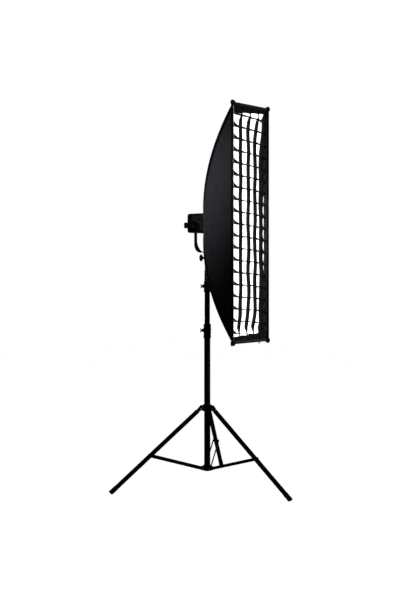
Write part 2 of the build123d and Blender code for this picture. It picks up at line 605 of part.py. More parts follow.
def back_y(s):
    return BOX_BACK_Y - BOX_DEPTH * s * s


def profile_solid(inset):
    """Everything in front of the curved back, seen from the side: a parabola, front to front."""
    half = BOX_HALF_H - inset
    apex = BOX_BACK_Y - inset
    control = 2 * apex - BOX_FRONT_Y
    curve = Bezier((BOX_FRONT_Y, half), (control, 0), (BOX_FRONT_Y, -half))
    face = make_face(curve + Line((BOX_FRONT_Y, -half), (BOX_FRONT_Y, half)))
    return Pos(0, 0, AXIS_Z) * extrude(Plane.YZ * face, BOX_HALF_W + 10, both=True)


def plan_curve(inset_x, inset_y):
    """The side panel's line in plan: a parabola from the ring to the front edge."""
    start = Vector(RING_HALF_W - inset_x, back_y(RING_S) - inset_y)
    end = Vector(BOX_HALF_W - inset_x, BOX_FRONT_Y)
    widening = (BOX_HALF_W - RING_HALF_W) / 2
    control = Vector(RING_HALF_W + widening - inset_x,
                     back_y(RING_S) - BOX_DEPTH * RING_S * (1 - RING_S) - inset_y)
    return Bezier(start, control, end)


def side_panel(side):
    """Large side panel: ruled upright between its two rods."""
    outer, inner = plan_curve(0, 0), plan_curve(1.9, 1.4)
    ends = Line(outer @ 0, inner @ 0) + Line(outer @ 1, inner @ 1)
    face = make_face(outer + inner + ends)
    panel = Pos(0, 0, AXIS_Z) * extrude(Plane.XY * face, BOX_HALF_H + 5, both=True)
    panel = panel & profile_solid(0)
    return panel if side > 0 else mirror(panel, Plane.YZ)


def end_panel(side):
    """Narrow top or bottom panel, curved from the ring to the front edge."""
    sheet = profile_solid(0) - profile_solid(PANEL)
    low, high = RING_S * BOX_HALF_H, BOX_HALF_H + 5
    seam = 4.0                                # keeps the panel inside the side panels
    wide = half_width(high / BOX_HALF_H) - seam
    narrow = RING_HALF_W - seam
    wedge = Polyline((-narrow, low), (narrow, low), (wide, high), (-wide, high), close=True)
    cutter = Pos(0, 0, AXIS_Z) * extrude(Plane.XZ * make_face(wedge), 600, both=True)
    panel = sheet & cutter
    return panel if side > 0 else mirror(panel, Plane.XY.offset(AXIS_Z))


def ring_skirt():
    """Fabric plate that closes the box's back around the ring."""
    y = back_y(RING_S)
    half_h = RING_S * BOX_HALF_H - 3
    half_w = RING_HALF_W - 3.5
    plate = block((-half_w, half_w), (y - 3.5, y - 1.5), (AXIS_Z - half_h, AXIS_Z + half_h))
    return plate - rod(RING_R + 0.2, (0, y - 10, AXIS_Z), (0, y + 10, AXIS_Z))


def speed_ring():
    """Cast ring with the three-lug insert that turns in the lamp's mount."""
    ring = pipe(RING_R, RING_BORE_R, (0, RING_Y[0], AXIS_Z), (0, RING_Y[1], AXIS_Z))
    ring = chamfer(ring.edges().filter_by(GeomType.CIRCLE).group_by(SortBy.RADIUS)[-1], 1.0)
    return ring + pipe(53.6, RING_BORE_R, (0, RING_Y[1], AXIS_Z), (0, LAMP_FRONT - 2, AXIS_Z))


def rod_curve():
    """Bent rod, from its socket to the front corner, as offsets from the box's axis."""
    s = 0.982
    end = Vector(half_width(s) - 7.5, back_y(s) - 7, s * BOX_HALF_H - 10)
    lead = Vector(BOX_HALF_W - RING_HALF_W, -2 * BOX_DEPTH, BOX_HALF_H) * 0.46
    return Bezier(Vector(*SOCKET_AT), end - lead, end)


def quadrants(shape):
    """A shape in the +X, +Z quadrant and its three mirror images."""
    right = [shape, mirror(shape, Plane.XY)]
    both = right + [mirror(piece, Plane.YZ) for piece in right]
    return [Pos(0, 0, AXIS_Z) * piece for piece in both]


def support_rods():
    path = rod_curve()
    section = Plane(origin=path @ 0, z_dir=path % 0) * Circle(ROD_R)
    return group(quadrants(sweep(section, path)))


def rod_sockets():
    """Angled sockets on the ring that hold the rods' inner ends."""
    path = rod_curve()
    start, direction = path @ 0, path % 0
    tube = rod(6.5, tuple(start - direction * 8), tuple(start + direction * 26))
    tube -= rod(4.4, tuple(start), tuple(start + direction * 30))
    ring = Pos(0, 0, -AXIS_Z) * speed_ring()
    return group(quadrants(tube - ring))


def inner_baffle():
    """Inner diffusing sheet, hung half way along the box, its corners cut to pass the rods."""
    sheet = Rectangle(248, 956)
    sheet = chamfer(sheet.vertices(), 14)
    return extrude(facing_front(BAFFLE_Y, AXIS_Z) * sheet, 0.8, both=True)


def front_diffuser():
    """Outer diffusing sheet, its corners cut to pass the rods."""
    sheet = Rectangle(300, 1264)
    sheet = chamfer(sheet.vertices(), 16)
    return extrude(facing_front(DIFFUSER_Y, AXIS_Z) * sheet, 0.9, both=True)


def grid():
    """Egg-crate grid: bordered strips, with a plain band at each end."""
    border, strip, half_h = 3.0, 2.0, CELL * GRID_ROWS / 2
    pitch = 2 * GRID_HALF_W / GRID_COLUMNS
    y = GRID_Y
    outer = block((-GRID_HALF_W - border, GRID_HALF_W + border), y, (AXIS_Z - half_h, AXIS_Z + half_h))
    frame = outer - block((-GRID_HALF_W, GRID_HALF_W), y, (AXIS_Z - half_h + 1, AXIS_Z + half_h - 1))
    for row in range(1, GRID_ROWS):
        z = AXIS_Z - half_h + CELL * row
        frame += block((-GRID_HALF_W - 1, GRID_HALF_W + 1), y, (z - strip / 2, z + strip / 2))
    for column in range(1, GRID_COLUMNS):
        x = -GRID_HALF_W + pitch * column
        frame += block((x - strip / 2, x + strip / 2), y, (AXIS_Z - half_h, AXIS_Z + half_h))
    for side in (-1, 1):
        z = sorted((AXIS_Z + side * (half_h - 1), AXIS_Z + side * (half_h + 50)))
        frame += block((-GRID_HALF_W - border, GRID_HALF_W + border), (y[0], y[0] + 3), z)
    return frame


def corner_caps():
    """Reinforced pockets over the front corners, outside the panels."""
    volume = Pos(0, 0, -AXIS_Z) * profile_solid(0)
    x, z = (BOX_HALF_W - 12, BOX_HALF_W + 7), (BOX_HALF_H - 15, BOX_HALF_H + 7)
    cap = block(x, (BOX_FRONT_Y, BOX_FRONT_Y + 20), z)
    cap = fillet(cap.edges().filter_by(Axis.Y).sort_by(Axis.X)[-2:], 6)
    plan = plan_curve(0, 0)
    inside = make_face(plan + Polyline(plan @ 1, (0, BOX_FRONT_Y), (0, back_y(RING_S)), plan @ 0))
    cap -= volume & extrude(Plane.XY * inside, BOX_HALF_H + 20, both=True)
    return group(quadrants(cap))


# ---- write every node -------------------------------------------------------------
def lower_lock_collar():
    return lock_collar(*LOWER_LOCK_Z, 22.5, TUBE_R["lower"], TUBE_R["mid"], LOWER_TUBE_Z[1],
                       LOWER_KNOB["azimuth"], LOWER_KNOB["z"])


def upper_lock_collar():
    return lock_collar(*UPPER_LOCK_Z, 20.5, TUBE_R["mid"], TUBE_R["upper"], MID_TUBE_Z[1],
                       UPPER_KNOB["azimuth"], UPPER_KNOB["z"])


def main():
    os.makedirs("parts", exist_ok=True)
    for make in (lower_tube, column_end_plug, brace_collar, brace_pins, lower_lock_collar, leg_hub, leg_pins,
                 mid_tube, upper_lock_collar, upper_tube, top_spigot, stand_receiver, receiver_knob, yoke,
                 yoke_bolt, tilt_pivots, tilt_lever, lamp_housing, rear_cover, display_window, dimmer_dial,
                 power_inlet, power_switch, heat_sink, led_module, protective_glass, driver_board, fan_frame,
                 fan_rotor, bayonet_ring, release_latch, speed_ring, rod_sockets, support_rods, ring_skirt,
                 inner_baffle, front_diffuser, grid, corner_caps):
        save(make.__name__, make())
    save("lower_lock_knob", wing_knob(**LOWER_KNOB))
    save("upper_lock_knob", wing_knob(**UPPER_KNOB))
    save("hub_lock_knob", wing_knob(**HUB_KNOB, span=12.0))
    for name, azimuth in LEG_AZIMUTHS.items():
        save(f"leg_fitting_{name}", leg_fitting(azimuth))
        save(f"leg_tube_{name}", leg_tube(azimuth))
        save(f"leg_foot_{name}", leg_foot(azimuth))
        save(f"brace_{name}", brace(azimuth))
    for name, (x, z) in BUTTONS.items():
        save(name, push_button(x, z))
    save("side_panel_right", side_panel(1))
    save("side_panel_left", side_panel(-1))
    save("top_panel", end_panel(1))
    save("bottom_panel", end_panel(-1))


main()
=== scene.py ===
import json
from math import atan2, cos, exp, pi, radians, sin, sqrt, tau

import bmesh
import bpy
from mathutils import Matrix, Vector, noise


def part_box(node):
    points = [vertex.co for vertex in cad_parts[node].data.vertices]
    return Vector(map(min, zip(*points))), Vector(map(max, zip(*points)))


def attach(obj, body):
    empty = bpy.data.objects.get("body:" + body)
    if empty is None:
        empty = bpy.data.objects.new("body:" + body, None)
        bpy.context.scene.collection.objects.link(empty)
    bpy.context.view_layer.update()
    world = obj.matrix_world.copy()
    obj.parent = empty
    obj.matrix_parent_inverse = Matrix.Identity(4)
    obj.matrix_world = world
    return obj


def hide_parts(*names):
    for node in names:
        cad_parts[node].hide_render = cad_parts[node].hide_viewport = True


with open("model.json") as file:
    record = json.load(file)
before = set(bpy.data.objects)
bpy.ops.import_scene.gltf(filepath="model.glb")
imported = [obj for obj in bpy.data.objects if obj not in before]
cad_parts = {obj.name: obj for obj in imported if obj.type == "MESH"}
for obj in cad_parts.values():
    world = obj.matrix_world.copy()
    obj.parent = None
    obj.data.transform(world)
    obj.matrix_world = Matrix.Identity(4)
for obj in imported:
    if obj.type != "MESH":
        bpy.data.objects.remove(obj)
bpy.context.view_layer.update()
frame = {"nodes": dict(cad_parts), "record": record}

# A tall strip softbox with an egg-crate grid, on an LED lamp and a light stand.
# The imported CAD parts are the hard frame. This script adds the fabric, the sewn and small
# fitted parts, every material, the studio and the camera. Metres throughout.

# ---- places taken from the frame -------------------------------------------------------
PANEL_LOW, PANEL_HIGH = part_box("side_panel_right")
AXIS_Z = (PANEL_LOW.z + PANEL_HIGH.z) / 2          # the softbox's axis, along Y
HALF_H = (PANEL_HIGH.z - PANEL_LOW.z) / 2          # front frame, half height
HALF_W = PANEL_HIGH.x                              # front frame, half width
FRONT_Y = PANEL_LOW.y
RING_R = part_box("speed_ring")[1].x
GRID_LOW, GRID_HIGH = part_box("grid")
GRID_HALF = GRID_HIGH.x
GRID_BACK = GRID_HIGH.y + 0.004                    # the strips' rear edges
DIFFUSER_Y = sum(corner.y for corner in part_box("front_diffuser")) / 2
BAFFLE_LOW, BAFFLE_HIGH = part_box("inner_baffle")
LAMP_LOW, LAMP_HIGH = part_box("lamp_housing")
COVER_LOW, COVER_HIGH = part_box("rear_cover")

# ---- the softbox's shape, as in the CAD ------------------------------------------------
RING_S = 0.11                                      # where the panels start, of the half height
RING_HALF_W = 0.076
APEX_Y = (PANEL_HIGH.y - FRONT_Y * RING_S ** 2) / (1 - RING_S ** 2)   # apex of the curved back
DEPTH = APEX_Y - FRONT_Y
CLOTH = 0.0008                                     # coated nylon with its backing

# ---- the grid --------------------------------------------------------------------------
ROWS, COLUMNS = 18, 4
ROW_PITCH = 0.0713
STRIP = 0.0015                                     # thickness of a grid strip
HANG = (0.018, -0.002, -0.006, -0.010, -0.018, -0.028)   # height of a row at each column and at the lip
DRAWN = (0.0, 0.006, 0.005, -0.007, -0.027)        # how far each column is pulled sideways


# ---- mesh helpers ----------------------------------------------------------------------
def half_width(s):
    """Half width of the box where its half height is s of the front's."""
    return RING_HALF_W + (HALF_W - RING_HALF_W) * (s - RING_S) / (1 - RING_S)


def half_height(s):
    return HALF_H * s


def back_y(s):
    return APEX_Y - DEPTH * s * s


def s_at(y):
    """The inverse of back_y."""
    return sqrt(max(0.0, (APEX_Y - y) / DEPTH))


def hump(x, width):
    return exp(-(x / width) ** 2)


def noise_at(x, y, z):
    return noise.noise(Vector((x, y, z)))


def ease(x):
    x = min(1.0, max(0.0, x))
    return x * x * (3 - 2 * x)


def new_object(name, data):
    made = bpy.data.objects.new(name, data)
    bpy.context.scene.collection.objects.link(made)
    return made


def piece(name, build, materials, body="softbox"):
    """Puts what a builder holds in the scene, as a piece that rides on a body."""
    mesh = build.mesh(name)
    for material in materials:
        mesh.materials.append(material)
    mesh.polygons.foreach_set("use_smooth", [True] * len(mesh.polygons))
    made = new_object(name, mesh)
    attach(made, body)
    return made


def sharp_edges(made, degrees=35):
    """Keeps edges sharper than this angle crisp on a smooth-shaded piece."""
    mesh = made.data
    limit = radians(degrees)
    work = bmesh.new()
    work.from_mesh(mesh)
    for edge in work.edges:
        if len(edge.link_faces) == 2 and edge.calc_face_angle(0.0) > limit:
            edge.smooth = False
    work.to_mesh(mesh)
    work.free()


def strip_faces(count, sides, closed):
    """Faces that join rings of points in turn; an open run gets its two ends."""
    faces = []
    for k in range(count if closed else count - 1):
        after = (k + 1) % count
        for n in range(sides):
            m = (n + 1) % sides
            faces.append((k * sides + n, k * sides + m, after * sides + m, after * sides + n))
    if not closed:
        faces.append(tuple(reversed(range(sides))))
        faces.append(tuple((count - 1) * sides + n for n in range(sides)))
    return faces


class Builder:
    """Collects vertices and faces for one mesh, with metric UVs on its sheets."""

    def __init__(self):
        self.points = []
        self.faces = []
        self.kinds = []
        self.uvs = []

    def add(self, points, groups, uvs):
        """Adds points, and groups of (faces, material index) over them."""
        first = len(self.points)
        self.points += [tuple(p) for p in points]
        for faces, kind in groups:
            for face in faces:
                self.faces.append([first + i for i in face])
                self.kinds.append(kind)
                self.uvs.append([uvs[i] for i in face])

    def sheet(self, point, columns, rows, thickness=CLOTH, front=0, back=0):
        """A closed thin sheet over point(u, v); its back lies a thickness behind its face."""
        at = [[Vector(point(i / columns, j / rows)) for i in range(columns + 1)] for j in range(rows + 1)]
        face_points, back_points, uvs = [], [], []
        for j in range(rows + 1):
            run = 0.0
            for i in range(columns + 1):
                du = at[j][min(i + 1, columns)] - at[j][max(i - 1, 0)]
                dv = at[min(j + 1, rows)][i] - at[max(j - 1, 0)][i]
                normal = du.cross(dv).normalized()
                if i:
                    run += (at[j][i] - at[j][i - 1]).length
                face_points.append(at[j][i])
                back_points.append(at[j][i] - normal * thickness)
                uvs.append((run, (at[j][i] - at[0][i]).length))
        wide = columns + 1
        total = wide * (rows + 1)
        faces = [(j * wide + i, j * wide + i + 1, (j + 1) * wide + i + 1, (j + 1) * wide + i)
                 for j in range(rows) for i in range(columns)]
        rear = [tuple(total + i for i in reversed(face)) for face in faces]
        edge = [(j * wide, (j + 1) * wide) for j in range(rows)]
        edge += [((j + 1) * wide + columns, j * wide + columns) for j in range(rows)]
        edge += [(i + 1, i) for i in range(columns)]
        edge += [(rows * wide + i, rows * wide + i + 1) for i in range(columns)]
        rim = [(a, b, total + b, total + a) for a, b in edge]
        self.add(face_points + back_points, [(faces, front), (rear, back), (rim, front)], uvs + uvs)

    def tube(self, path, radius, sides=8, kind=0, closed=False, flatten=1.0, normal=None):
        """A round or flattened bead along a path; its ends are closed."""
        path = [Vector(p) for p in path]
        count = len(path)
        rings, run = [], 0.0
        uvs = []
        up = Vector(normal) if normal else None
        for k, here in enumerate(path):
            if closed:
                ahead = path[(k + 1) % count] - path[k - 1]
            else:
                ahead = path[min(k + 1, count - 1)] - path[max(k - 1, 0)]
            ahead.normalize()
            if up is None:
                up = ahead.orthogonal()
            up = (up - ahead * up.dot(ahead)).normalized()
            across = ahead.cross(up)
            if k:
                run += (here - path[k - 1]).length
            size = radius(k / (count - 1)) if callable(radius) else radius
            for n in range(sides):
                angle = tau * n / sides
                rings.append(here + across * (size * cos(angle)) + up * (size * flatten * sin(angle)))
                uvs.append((run, n / sides * tau * size))
        self.add(rings, [(strip_faces(count, sides, closed), kind)], uvs)

    def sweep(self, frames, outline, kind=0, closed=False):
        """An outline of (out, along) offsets carried through frames of (origin, out, along)."""
        count, sides = len(frames), len(outline)
        points, uvs, run = [], [], 0.0
        for k, (origin, out, along) in enumerate(frames):
            if k:
                run += (origin - frames[k - 1][0]).length
            lap = 0.0
            for n, (a, b) in enumerate(outline):
                if n:
                    lap += Vector((a - outline[n - 1][0], b - outline[n - 1][1])).length
                points.append(origin + out * a + along * b)
                uvs.append((run, lap))
        self.add(points, [(strip_faces(count, sides, closed), kind)], uvs)

    def mesh(self, name):
        made = bpy.data.meshes.new(name)
        made.from_pydata(self.points, [], self.faces)
        made.polygons.foreach_set("material_index", self.kinds)
        layer = made.uv_layers.new(name="cloth")
        flat = [value for face in self.uvs for uv in face for value in uv]
        layer.data.foreach_set("uv", flat)
        work = bmesh.new()
        work.from_mesh(made)
        bmesh.ops.recalc_face_normals(work, faces=work.faces)
        work.to_mesh(made)
        work.free()
        return made


# ---- material helpers ------------------------------------------------------------------
def new_material(name, **fixed):
    """A material with its shader's constant sockets set."""
    material = bpy.data.materials.new(name)
    material.use_nodes = True
    shader = material.node_tree.nodes["Principled BSDF"]
    for socket, value in fixed.items():
        shader.inputs[socket.replace("_", " ")].default_value = value
    return material, material.node_tree, shader


def node(tree, kind, inputs=(), **settings):
    """One shader node; inputs maps a socket's name to a value or to another node's output."""
    made = tree.nodes.new("ShaderNode" + kind)
    for key, value in settings.items():
        setattr(made, key, value)
    for socket, value in dict(inputs).items():
        if isinstance(value, bpy.types.NodeSocket):
            tree.links.new(value, made.inputs[socket])
        else:
            made.inputs[socket].default_value = value
    return made


def mapped(tree, scale=(1, 1, 1), uv=False):
    """Object or cloth coordinates, scaled."""
    if uv:
        source = node(tree, "UVMap", uv_map="cloth").outputs["UV"]
    else:
        source = node(tree, "TexCoord").outputs["Object"]
    return node(tree, "Mapping", {"Vector": source, "Scale": scale}).outputs["Vector"]


def noise_node(tree, vector, scale, detail=3.0, rough=0.5):
    inputs = {"Vector": vector, "Scale": scale, "Detail": detail, "Roughness": rough}
    return node(tree, "TexNoise", inputs).outputs["Fac"]


def math_node(tree, operation, a, b):
    return node(tree, "Math", {0: a, 1: b}, operation=operation).outputs[0]


def times(tree, a, b):
    return math_node(tree, "MULTIPLY", a, b)


def plus(tree, a, b):
    return math_node(tree, "ADD", a, b)


def spread(tree, value, low, high, start=0.3, stop=0.7):
    """Maps a 0 to 1 pattern onto a range."""
    inputs = {"Value": value, "From Min": start, "From Max": stop, "To Min": low, "To Max": high}
    return node(tree, "MapRange", inputs).outputs["Result"]


def ramp(tree, value, stops):
    """Colour stops (position, grey or colour) over a pattern."""
    made = node(tree, "ValToRGB", {"Fac": value})
    elements = made.color_ramp.elements
    while len(elements) < len(stops):
        elements.new(0.5)
    for element, (position, colour) in zip(elements, stops):
        element.position = position
        colour = (colour,) * 3 if isinstance(colour, (int, float)) else colour
        element.color = (*colour, 1.0)
    return made.outputs["Color"]


def tint(colour, factor):
    return tuple(min(1.0, channel * factor) for channel in colour)


def feed(shader, socket, value):
    """Links a node's output to a socket of the shader."""
    shader.id_data.links.new(value, shader.inputs[socket])


def bump(tree, shader, height, strength, distance):
    inputs = {"Height": height, "Strength": strength, "Distance": distance}
    feed(shader, "Normal", node(tree, "Bump", inputs).outputs["Normal"])


# ---- materials -------------------------------------------------------------------------
def moulded(name, colour, rough, grain=900.0, depth=0.00012, dust=0.25, level=0.4):
    """Textured plastic or powder coat: fine grain, uneven gloss, a little settled dust."""
    material, tree, shader = new_material(name, Specular_IOR_Level=level)
    place = mapped(tree)
    cloud = noise_node(tree, place, 14.0, 4.0)
    speck = noise_node(tree, place, grain, 2.0, 0.6)
    up = node(tree, "SeparateXYZ", {"Vector": node(tree, "NewGeometry").outputs["Normal"]}).outputs["Z"]
    settled = times(tree, spread(tree, up, 0.0, dust, 0.2, 1.0), spread(tree, cloud, 0.2, 1.0))
    mixed = plus(tree, spread(tree, cloud, 0.0, 0.5), settled)
    shade = ramp(tree, mixed, [(0.0, tint(colour, 0.8)), (0.5, tint(colour, 1.15)), (1.0, tint(colour, 2.2))])
    feed(shader, "Base Color", shade)
    gloss = plus(tree, spread(tree, cloud, rough - 0.06, rough + 0.06), spread(tree, speck, -0.05, 0.05))
    feed(shader, "Roughness", gloss)
    bump(tree, shader, speck, 0.35, depth)
    return material


def brushed(name, colour, rough, stretch=(500, 500, 12), metallic=1.0, streak=0.25, level=0.5):
    """Metal with fine drawn lines along one axis and faint handling marks."""
    material, tree, shader = new_material(name, Metallic=metallic, Specular_IOR_Level=level)
    lines = noise_node(tree, mapped(tree, stretch), 1.0, 3.0, 0.6)
    cloud = noise_node(tree, mapped(tree), 22.0, 4.0)
    shade = ramp(tree, lines, [(0.25, tint(colour, 1 - streak)), (0.75, tint(colour, 1 + streak))])
    feed(shader, "Base Color", shade)
    gloss = plus(tree, spread(tree, lines, rough - 0.07, rough + 0.07), spread(tree, cloud, -0.06, 0.08))
    feed(shader, "Roughness", gloss)
    bump(tree, shader, lines, 0.25, 0.00005)
    return material


def satin_tube(name):
    """Black anodised tube: drawn lines, and thin bright rubs where the tubes slide."""
    material, tree, shader = new_material(name, Specular_IOR_Level=0.06)
    lines = noise_node(tree, mapped(tree, (420, 420, 3)), 1.0, 4.0, 0.65)
    cloud = noise_node(tree, mapped(tree), 9.0, 4.0)
    rubs = noise_node(tree, mapped(tree, (260, 260, 1.2)), 1.0, 1.0)
    worn = times(tree, spread(tree, rubs, 0.0, 1.0, 0.68, 0.80), spread(tree, cloud, 0.0, 1.0))
    mixed = plus(tree, times(tree, lines, 0.5), worn)
    shade = ramp(tree, mixed, [(0.1, 0.0018), (0.45, 0.0032), (1.0, 0.030)])
    feed(shader, "Base Color", shade)
    feed(shader, "Roughness", spread(tree, plus(tree, lines, worn), 0.30, 0.46))
    bump(tree, shader, lines, 0.2, 0.00005)
    return material


def rubber(name):
    """Dull rubber with scuffs that are paler low down, where it meets the floor."""
    material, tree, shader = new_material(name, Specular_IOR_Level=0.06)
    place = mapped(tree)
    scuff = noise_node(tree, place, 160.0, 5.0, 0.7)
    height = node(tree, "SeparateXYZ", {"Vector": node(tree, "TexCoord").outputs["Object"]}).outputs["Z"]
    low = spread(tree, height, 1.0, 0.35, 0.0, 0.025)
    dusty = times(tree, scuff, low)
    shade = ramp(tree, dusty, [(0.2, 0.005), (0.55, 0.010), (0.8, 0.03)])
    feed(shader, "Base Color", shade)
    feed(shader, "Roughness", spread(tree, scuff, 0.72, 0.9))
    bump(tree, shader, scuff, 0.5, 0.0004)
    return material


def weave_height(tree, pitch, vector):
    """Over-and-under threads: two crossed waves that take turns on top."""
    inputs = {"Vector": vector, "Scale": 0.5 / pitch}
    waves = [node(tree, "TexWave", inputs, bands_direction=way, wave_profile="SIN") for way in ("X", "Y")]
    return math_node(tree, "MAXIMUM", waves[0].outputs["Fac"], waves[1].outputs["Fac"])


def fabric(name, colour, pitch=0.0014, rough=0.62, sheen=0.15, fold=0.5, level=0.3):
    """Coated woven nylon: thread relief, soft creases and slightly uneven dye."""
    material, tree, shader = new_material(name, Sheen_Weight=sheen, Sheen_Roughness=0.45,
                                          Specular_IOR_Level=level)
    cloth = mapped(tree, uv=True)
    threads = weave_height(tree, pitch, cloth)
    cloud = noise_node(tree, cloth, 7.0, 5.0, 0.6)
    crease = noise_node(tree, mapped(tree, (9, 22, 9)), 1.0, 4.0, 0.55)
    shade = ramp(tree, plus(tree, times(tree, threads, 0.35), cloud),
                 [(0.3, tint(colour, 0.75)), (0.75, colour), (0.96, tint(colour, 1.35))])
    feed(shader, "Base Color", shade)
    feed(shader, "Roughness", spread(tree, cloud, rough - 0.05, rough + 0.07))
    relief = plus(tree, times(tree, threads, 0.00012), times(tree, crease, 0.004 * fold))
    bump(tree, shader, relief, 1.0, 1.0)
    return material


def silver_lining(name):
    """The reflective inside of the panels: metallised cloth with a pebbled weave."""
    material, tree, shader = new_material(name, Metallic=0.85, Specular_IOR_Level=0.5)
    cloth = mapped(tree, uv=True)
    cells = node(tree, "TexVoronoi", {"Vector": cloth, "Scale": 420.0}).outputs["Distance"]
    cloud = noise_node(tree, cloth, 9.0, 4.0)
    feed(shader, "Base Color", ramp(tree, cloud, [(0.3, 0.55), (0.7, 0.72)]))
    feed(shader, "Roughness", spread(tree, cells, 0.28, 0.5, 0.0, 0.8))
    bump(tree, shader, cells, 0.5, 0.0004)
    return material


def hook_pile(name, colour, scale=900.0, depth=0.0008):
    """Loop or hook tape: a dense short pile."""
    material, tree, shader = new_material(name, Sheen_Weight=0.35, Sheen_Roughness=0.5,
                                          Specular_IOR_Level=0.2)
    place = mapped(tree)
    pile = node(tree, "TexVoronoi", {"Vector": place, "Scale": scale}).outputs["Distance"]
    cloud = noise_node(tree, place, 30.0, 4.0)
    mixed = plus(tree, times(tree, pile, 0.6), times(tree, cloud, 0.5))
    feed(shader, "Base Color", ramp(tree, mixed, [(0.2, tint(colour, 0.6)), (0.8, tint(colour, 1.5))]))
    feed(shader, "Roughness", spread(tree, pile, 0.78, 0.95, 0.0, 0.8))
    bump(tree, shader, pile, 0.6, depth)
    return material


def lit_cloth(name, strength, edge):
    """White diffusing nylon, lit from behind: its glow varies a little at random, between edge times strength
    and strength.
    """
    material, tree, shader = new_material(name, Roughness=0.8, Specular_IOR_Level=0.2)
    cloth = mapped(tree, uv=True)
    threads = weave_height(tree, 0.0012, cloth)
    cloud = noise_node(tree, cloth, 3.0, 3.0)
    feed(shader, "Base Color", ramp(tree, cloud, [(0.3, 0.86), (0.7, 0.93)]))
    glow = plus(tree, spread(tree, cloud, strength * edge, strength),
                     times(tree, threads, 0.02 * strength))
    shader.inputs["Emission Color"].default_value = (1.0, 1.0, 1.0, 1.0)
    feed(shader, "Emission Strength", glow)
    bump(tree, shader, threads, 0.4, 0.0002)
    return material


def glass(name):
    """Clear protective glass with a faint uneven polish."""
    material, tree, shader = new_material(name, Transmission_Weight=1.0, IOR=1.5)
    cloud = noise_node(tree, mapped(tree), 40.0, 3.0)
    feed(shader, "Base Color", ramp(tree, cloud, [(0.3, 0.94), (0.7, 0.98)]))
    feed(shader, "Roughness", spread(tree, cloud, 0.02, 0.06))
    return material


def circuit(name):
    """Solder mask over tracks, with tinned pads."""
    material, tree, shader = new_material(name, Specular_IOR_Level=0.5)
    place = mapped(tree)
    tracks = node(tree, "TexBrick", {"Vector": place, "Scale": 120.0, "Mortar Size": 0.03}).outputs["Fac"]
    pads = node(tree, "TexVoronoi", {"Vector": place, "Scale": 260.0}).outputs["Distance"]
    spots = spread(tree, pads, 1.0, 0.0, 0.08, 0.14)
    mixed = plus(tree, times(tree, tracks, 0.4), times(tree, spots, 0.6))
    shade = ramp(tree, mixed, [(0.0, (0.01, 0.09, 0.04)), (0.4, (0.03, 0.20, 0.09)), (1.0, (0.6, 0.6, 0.58))])
    feed(shader, "Base Color", shade)
    feed(shader, "Roughness", spread(tree, pads, 0.25, 0.45, 0.0, 0.5))
    return material


def emitter_board(name):
    """White board with a yellow phosphor disc at its middle."""
    material, tree, shader = new_material(name, Roughness=0.4)
    low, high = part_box("led_module")
    middle = (low + high) / 2
    place = node(tree, "TexCoord").outputs["Object"]
    offset = node(tree, "VectorMath", {0: place, 1: (middle.x, middle.y, middle.z)}, operation="SUBTRACT")
    reach = node(tree, "VectorMath", {0: offset.outputs["Vector"]}, operation="LENGTH").outputs["Value"]
    grain = noise_node(tree, place, 600.0, 2.0)
    shade = ramp(tree, spread(tree, reach, 0.0, 1.0, 0.010, 0.020),
                 [(0.0, (0.95, 0.62, 0.10)), (0.45, (0.95, 0.70, 0.22)), (0.6, (0.85, 0.85, 0.83))])
    feed(shader, "Base Color", shade)
    bump(tree, shader, grain, 0.3, 0.0001)
    return material


MATERIALS = {
    "stand_tube": satin_tube("stand_tube"),
    "stand_bar": moulded("stand_bar", (0.0030, 0.0030, 0.0032), 0.45, 700.0, 0.00008, 0.15, 0.06),
    "stand_casting": moulded("stand_casting", (0.0027, 0.0027, 0.0030), 0.52, 1100.0, 0.00015, 0.15, 0.06),
    "hardware": brushed("hardware", (0.16, 0.16, 0.165), 0.36, (300, 300, 300)),
    "knob_plastic": moulded("knob_plastic", (0.0027, 0.0027, 0.0027), 0.52, 1400.0, 0.00012, 0.15, 0.06),
    "foot_rubber": rubber("foot_rubber"),
    "spigot_metal": brushed("spigot_metal", (0.030, 0.030, 0.032), 0.38, (20, 20, 900), 0.8, 0.25, 0.3),
    "cast_metal": moulded("cast_metal", (0.0024, 0.0024, 0.0027), 0.45, 600.0, 0.00020, 0.15, 0.06),
    "lamp_shell": moulded("lamp_shell", (0.0096, 0.0096, 0.0106), 0.50, 1300.0, 0.00016, 0.2, 0.25),
    "lamp_plastic": moulded("lamp_plastic", (0.0030, 0.0030, 0.0033), 0.55, 1300.0, 0.00018, 0.15, 0.06),
    "display_glass": moulded("display_glass", (0.006, 0.008, 0.011), 0.10, 60.0, 0.00001, 0.1, 0.5),
    "heat_sink_metal": brushed("heat_sink_metal", (0.62, 0.62, 0.64), 0.30, (60, 60, 900)),
    "led_board": emitter_board("led_board"),
    "circuit_board": circuit("circuit_board"),
    "clear_glass": glass("clear_glass"),
    "mount_metal": brushed("mount_metal", (0.08, 0.08, 0.085), 0.42, (200, 200, 200), 0.9),
    "rod_fibre": moulded("rod_fibre", (0.010, 0.010, 0.010), 0.30, 300.0, 0.00006, 0.1, 0.3),
    "outer_fabric": fabric("outer_fabric", (0.0270, 0.0250, 0.0310), 0.0014, 0.60, 0.06, 0.7, 0.16),
    "diffuser_fabric": lit_cloth("diffuser_fabric", 1.6, 0.92),
    "grid_fabric": fabric("grid_fabric", (0.0070, 0.0068, 0.0072), 0.0016, 0.8, 0.03, 0.2, 0.10),
}
LINING = silver_lining("silver_lining")
LOOP_TAPE = hook_pile("loop_tape", (0.0320, 0.0315, 0.0335))
# piping: the cord is real, but its pale grey colour is a painted highlight along the seams and front edges
PIPING_WITH_PAINTED_HIGHLIGHT = fabric("piping", (0.260, 0.260, 0.270), 0.0010, 0.5, 0.1, 0.0, 0.3)
BINDING = fabric("binding", (0.0028, 0.0028, 0.0032), 0.0012, 0.6, 0.02, 0.0, 0.06)
THREAD = fabric("thread", (0.016, 0.016, 0.017), 0.0004, 0.6, 0.1, 0.0, 0.2)
ELASTIC = fabric("elastic", (0.55, 0.55, 0.55), 0.0012, 0.7, 0.2, 0.0, 0.3)
